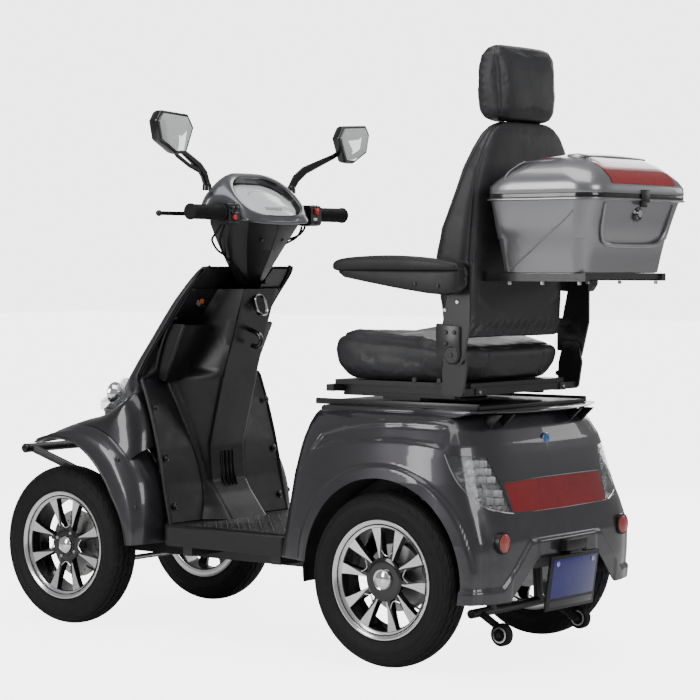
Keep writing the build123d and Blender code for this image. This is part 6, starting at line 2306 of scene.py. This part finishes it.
# ---------------------------------------------------------------- finishes of the frame's own parts
CARRIED = {
    "chassis_frame": BLACK_STEEL, "floor_deck": GRAINED, "leg_shield": SATIN, "front_fairing": GUNMETAL,
    "front_fender_left": GUNMETAL, "front_fender_right": GUNMETAL, "headlamps": CLEAR, "storage_bins": SATIN,
    "front_bumper": BLACK_STEEL, "rear_body": GUNMETAL, "rear_spoiler": SATIN, "tail_bar_lens": RED_LENS,
    "tail_lamps": CLEAR, "reflectors": PALE_RED, "number_plate": BLUE, "batteries": BATTERY_CASE,
    "motor_controller": CAST_ALLOY, "rear_springs": ZINC, "knuckle_left": CAST_IRON, "knuckle_right": CAST_IRON,
    "tie_rod": ZINC, "front_tyre_left": TYRE, "front_tyre_right": TYRE, "rear_tyre_left": TYRE,
    "rear_tyre_right": TYRE, "front_wheel_left": FRONT_ALLOY, "front_wheel_right": FRONT_ALLOY,
    "rear_wheel_left": REAR_ALLOY, "rear_wheel_right": REAR_ALLOY, "transaxle": CAST_ALLOY,
    "anti_tip_wheel_left": GRIP_RUBBER, "anti_tip_wheel_right": GRIP_RUBBER, "power_button": ORANGE,
    "ignition_key": CHROME, "steering_column": ZINC, "handlebar": GRIP_RUBBER, "head_cover_upper": SILVER,
    "head_cover_lower": SATIN, "display": DIAL, "switch_blocks": SATIN, "throttle_grip": GRIP_RUBBER,
    "brake_lever_left": SATIN, "brake_lever_right": SATIN, "horn_button": RED_BUTTON, "mirror_left": GLOSS_BLACK,
    "mirror_right": GLOSS_BLACK, "seat_swivel": BLACK_STEEL, "seat_pan": BLACK_STEEL, "seat_cushion": LEATHER,
    "backrest_frame": BLACK_STEEL, "backrest_cushion": LEATHER, "luggage_rack": BLACK_STEEL,
    "box_body": BOX_SILVER, "headrest": LEATHER, "armrest_left": URETHANE, "armrest_right": URETHANE,
    "box_lid": BOX_SILVER, "box_lens": RED_CLEAR, "box_lock": CHROME, "control_cables": GRIP_RUBBER,
}


def paint_frame_parts():
    for node, material in CARRIED.items():
        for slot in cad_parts[node].material_slots:
            slot.material = material


# ---------------------------------------------------------------- studio
def softbox(name, place, target, size, power, colour=(1, 1, 1)):
    lamp = bpy.data.lights.new(name, "AREA")
    lamp.shape, lamp.size, lamp.size_y = "RECTANGLE", *size
    lamp.energy, lamp.color = power, colour
    holder = bpy.data.objects.new(name, lamp)
    bpy.context.scene.collection.objects.link(holder)
    holder.location = place
    holder.rotation_euler = (Vector(target) - Vector(place)).to_track_quat("-Z", "Y").to_euler()


SKY, BACKDROP, FLOOR_GLOW = 0.30, 4.9, 4.3


def studio():
    floor_finish = Finish("pale_floor", (0.82, 0.82, 0.82), 0.55)
    floor_finish.tint(floor_finish.noise(0.8, 2.0) * 0.1, (0.78, 0.78, 0.785))
    tree = floor_finish.material.node_tree
    shader = tree.nodes["Principled BSDF"]
    seen = tree.nodes.new("ShaderNodeLightPath")
    tree.links.new(seen.outputs["Is Camera Ray"], shader.inputs["Emission Color"])
    shader.inputs["Emission Strength"].default_value = FLOOR_GLOW
    bm = bmesh.new()
    bmesh.ops.create_grid(bm, x_segments=1, y_segments=1, size=30)
    mesh = bpy.data.meshes.new("floor")
    bm.to_mesh(mesh)
    bm.free()
    mesh.materials.append(floor_finish.material)
    floor = bpy.data.objects.new("floor", mesh)
    bpy.context.scene.collection.objects.link(floor)

    world = bpy.data.worlds.new("studio")
    bpy.context.scene.world = world
    world.use_nodes = True
    tree = world.node_tree
    tree.nodes["Background"].inputs[0].default_value = (1, 1, 1, 1)
    tree.nodes["Background"].inputs[1].default_value = SKY
    backdrop = tree.nodes.new("ShaderNodeBackground")
    backdrop.inputs[1].default_value = BACKDROP
    path, mix = tree.nodes.new("ShaderNodeLightPath"), tree.nodes.new("ShaderNodeMixShader")
    tree.links.new(path.outputs["Is Camera Ray"], mix.inputs[0])
    tree.links.new(tree.nodes["Background"].outputs[0], mix.inputs[1])
    tree.links.new(backdrop.outputs[0], mix.inputs[2])
    tree.links.new(mix.outputs[0], tree.nodes["World Output"].inputs["Surface"])
    middle = (0, 0, 0.7)
    softbox("top_light", (0.6, 0.4, 3.6), middle, (2.6, 2.6), 60)
    softbox("side_light", (3.6, -1.2, 1.9), middle, (1.0, 2.4), 60)
    softbox("back_light", (0.9, 3.8, 2.0), middle, (1.6, 1.6), 45)
    softbox("far_light", (-3.4, -0.8, 2.2), middle, (1.8, 2.4), 50)
    softbox("mirror_card", (-2.65, 1.79, 1.5), (-0.28, -0.04, 1.35), (0.8, 0.6), 4)


def camera():
    """The camera stands behind the rider's left, far back, a little below seat height."""
    lens_data = bpy.data.cameras.new("camera")
    lens_data.sensor_width, lens_data.lens = 36.0, 120.857
    lens_data.clip_end = 100
    holder = bpy.data.objects.new("camera", lens_data)
    bpy.context.scene.collection.objects.link(holder)
    holder.location = (4.7004, 3.6852, 0.9418)
    holder.rotation_euler = (radians(90 - 2.075), 0, radians(127.79))
    bpy.context.scene.camera = holder


camera()
studio()
paint_frame_parts()
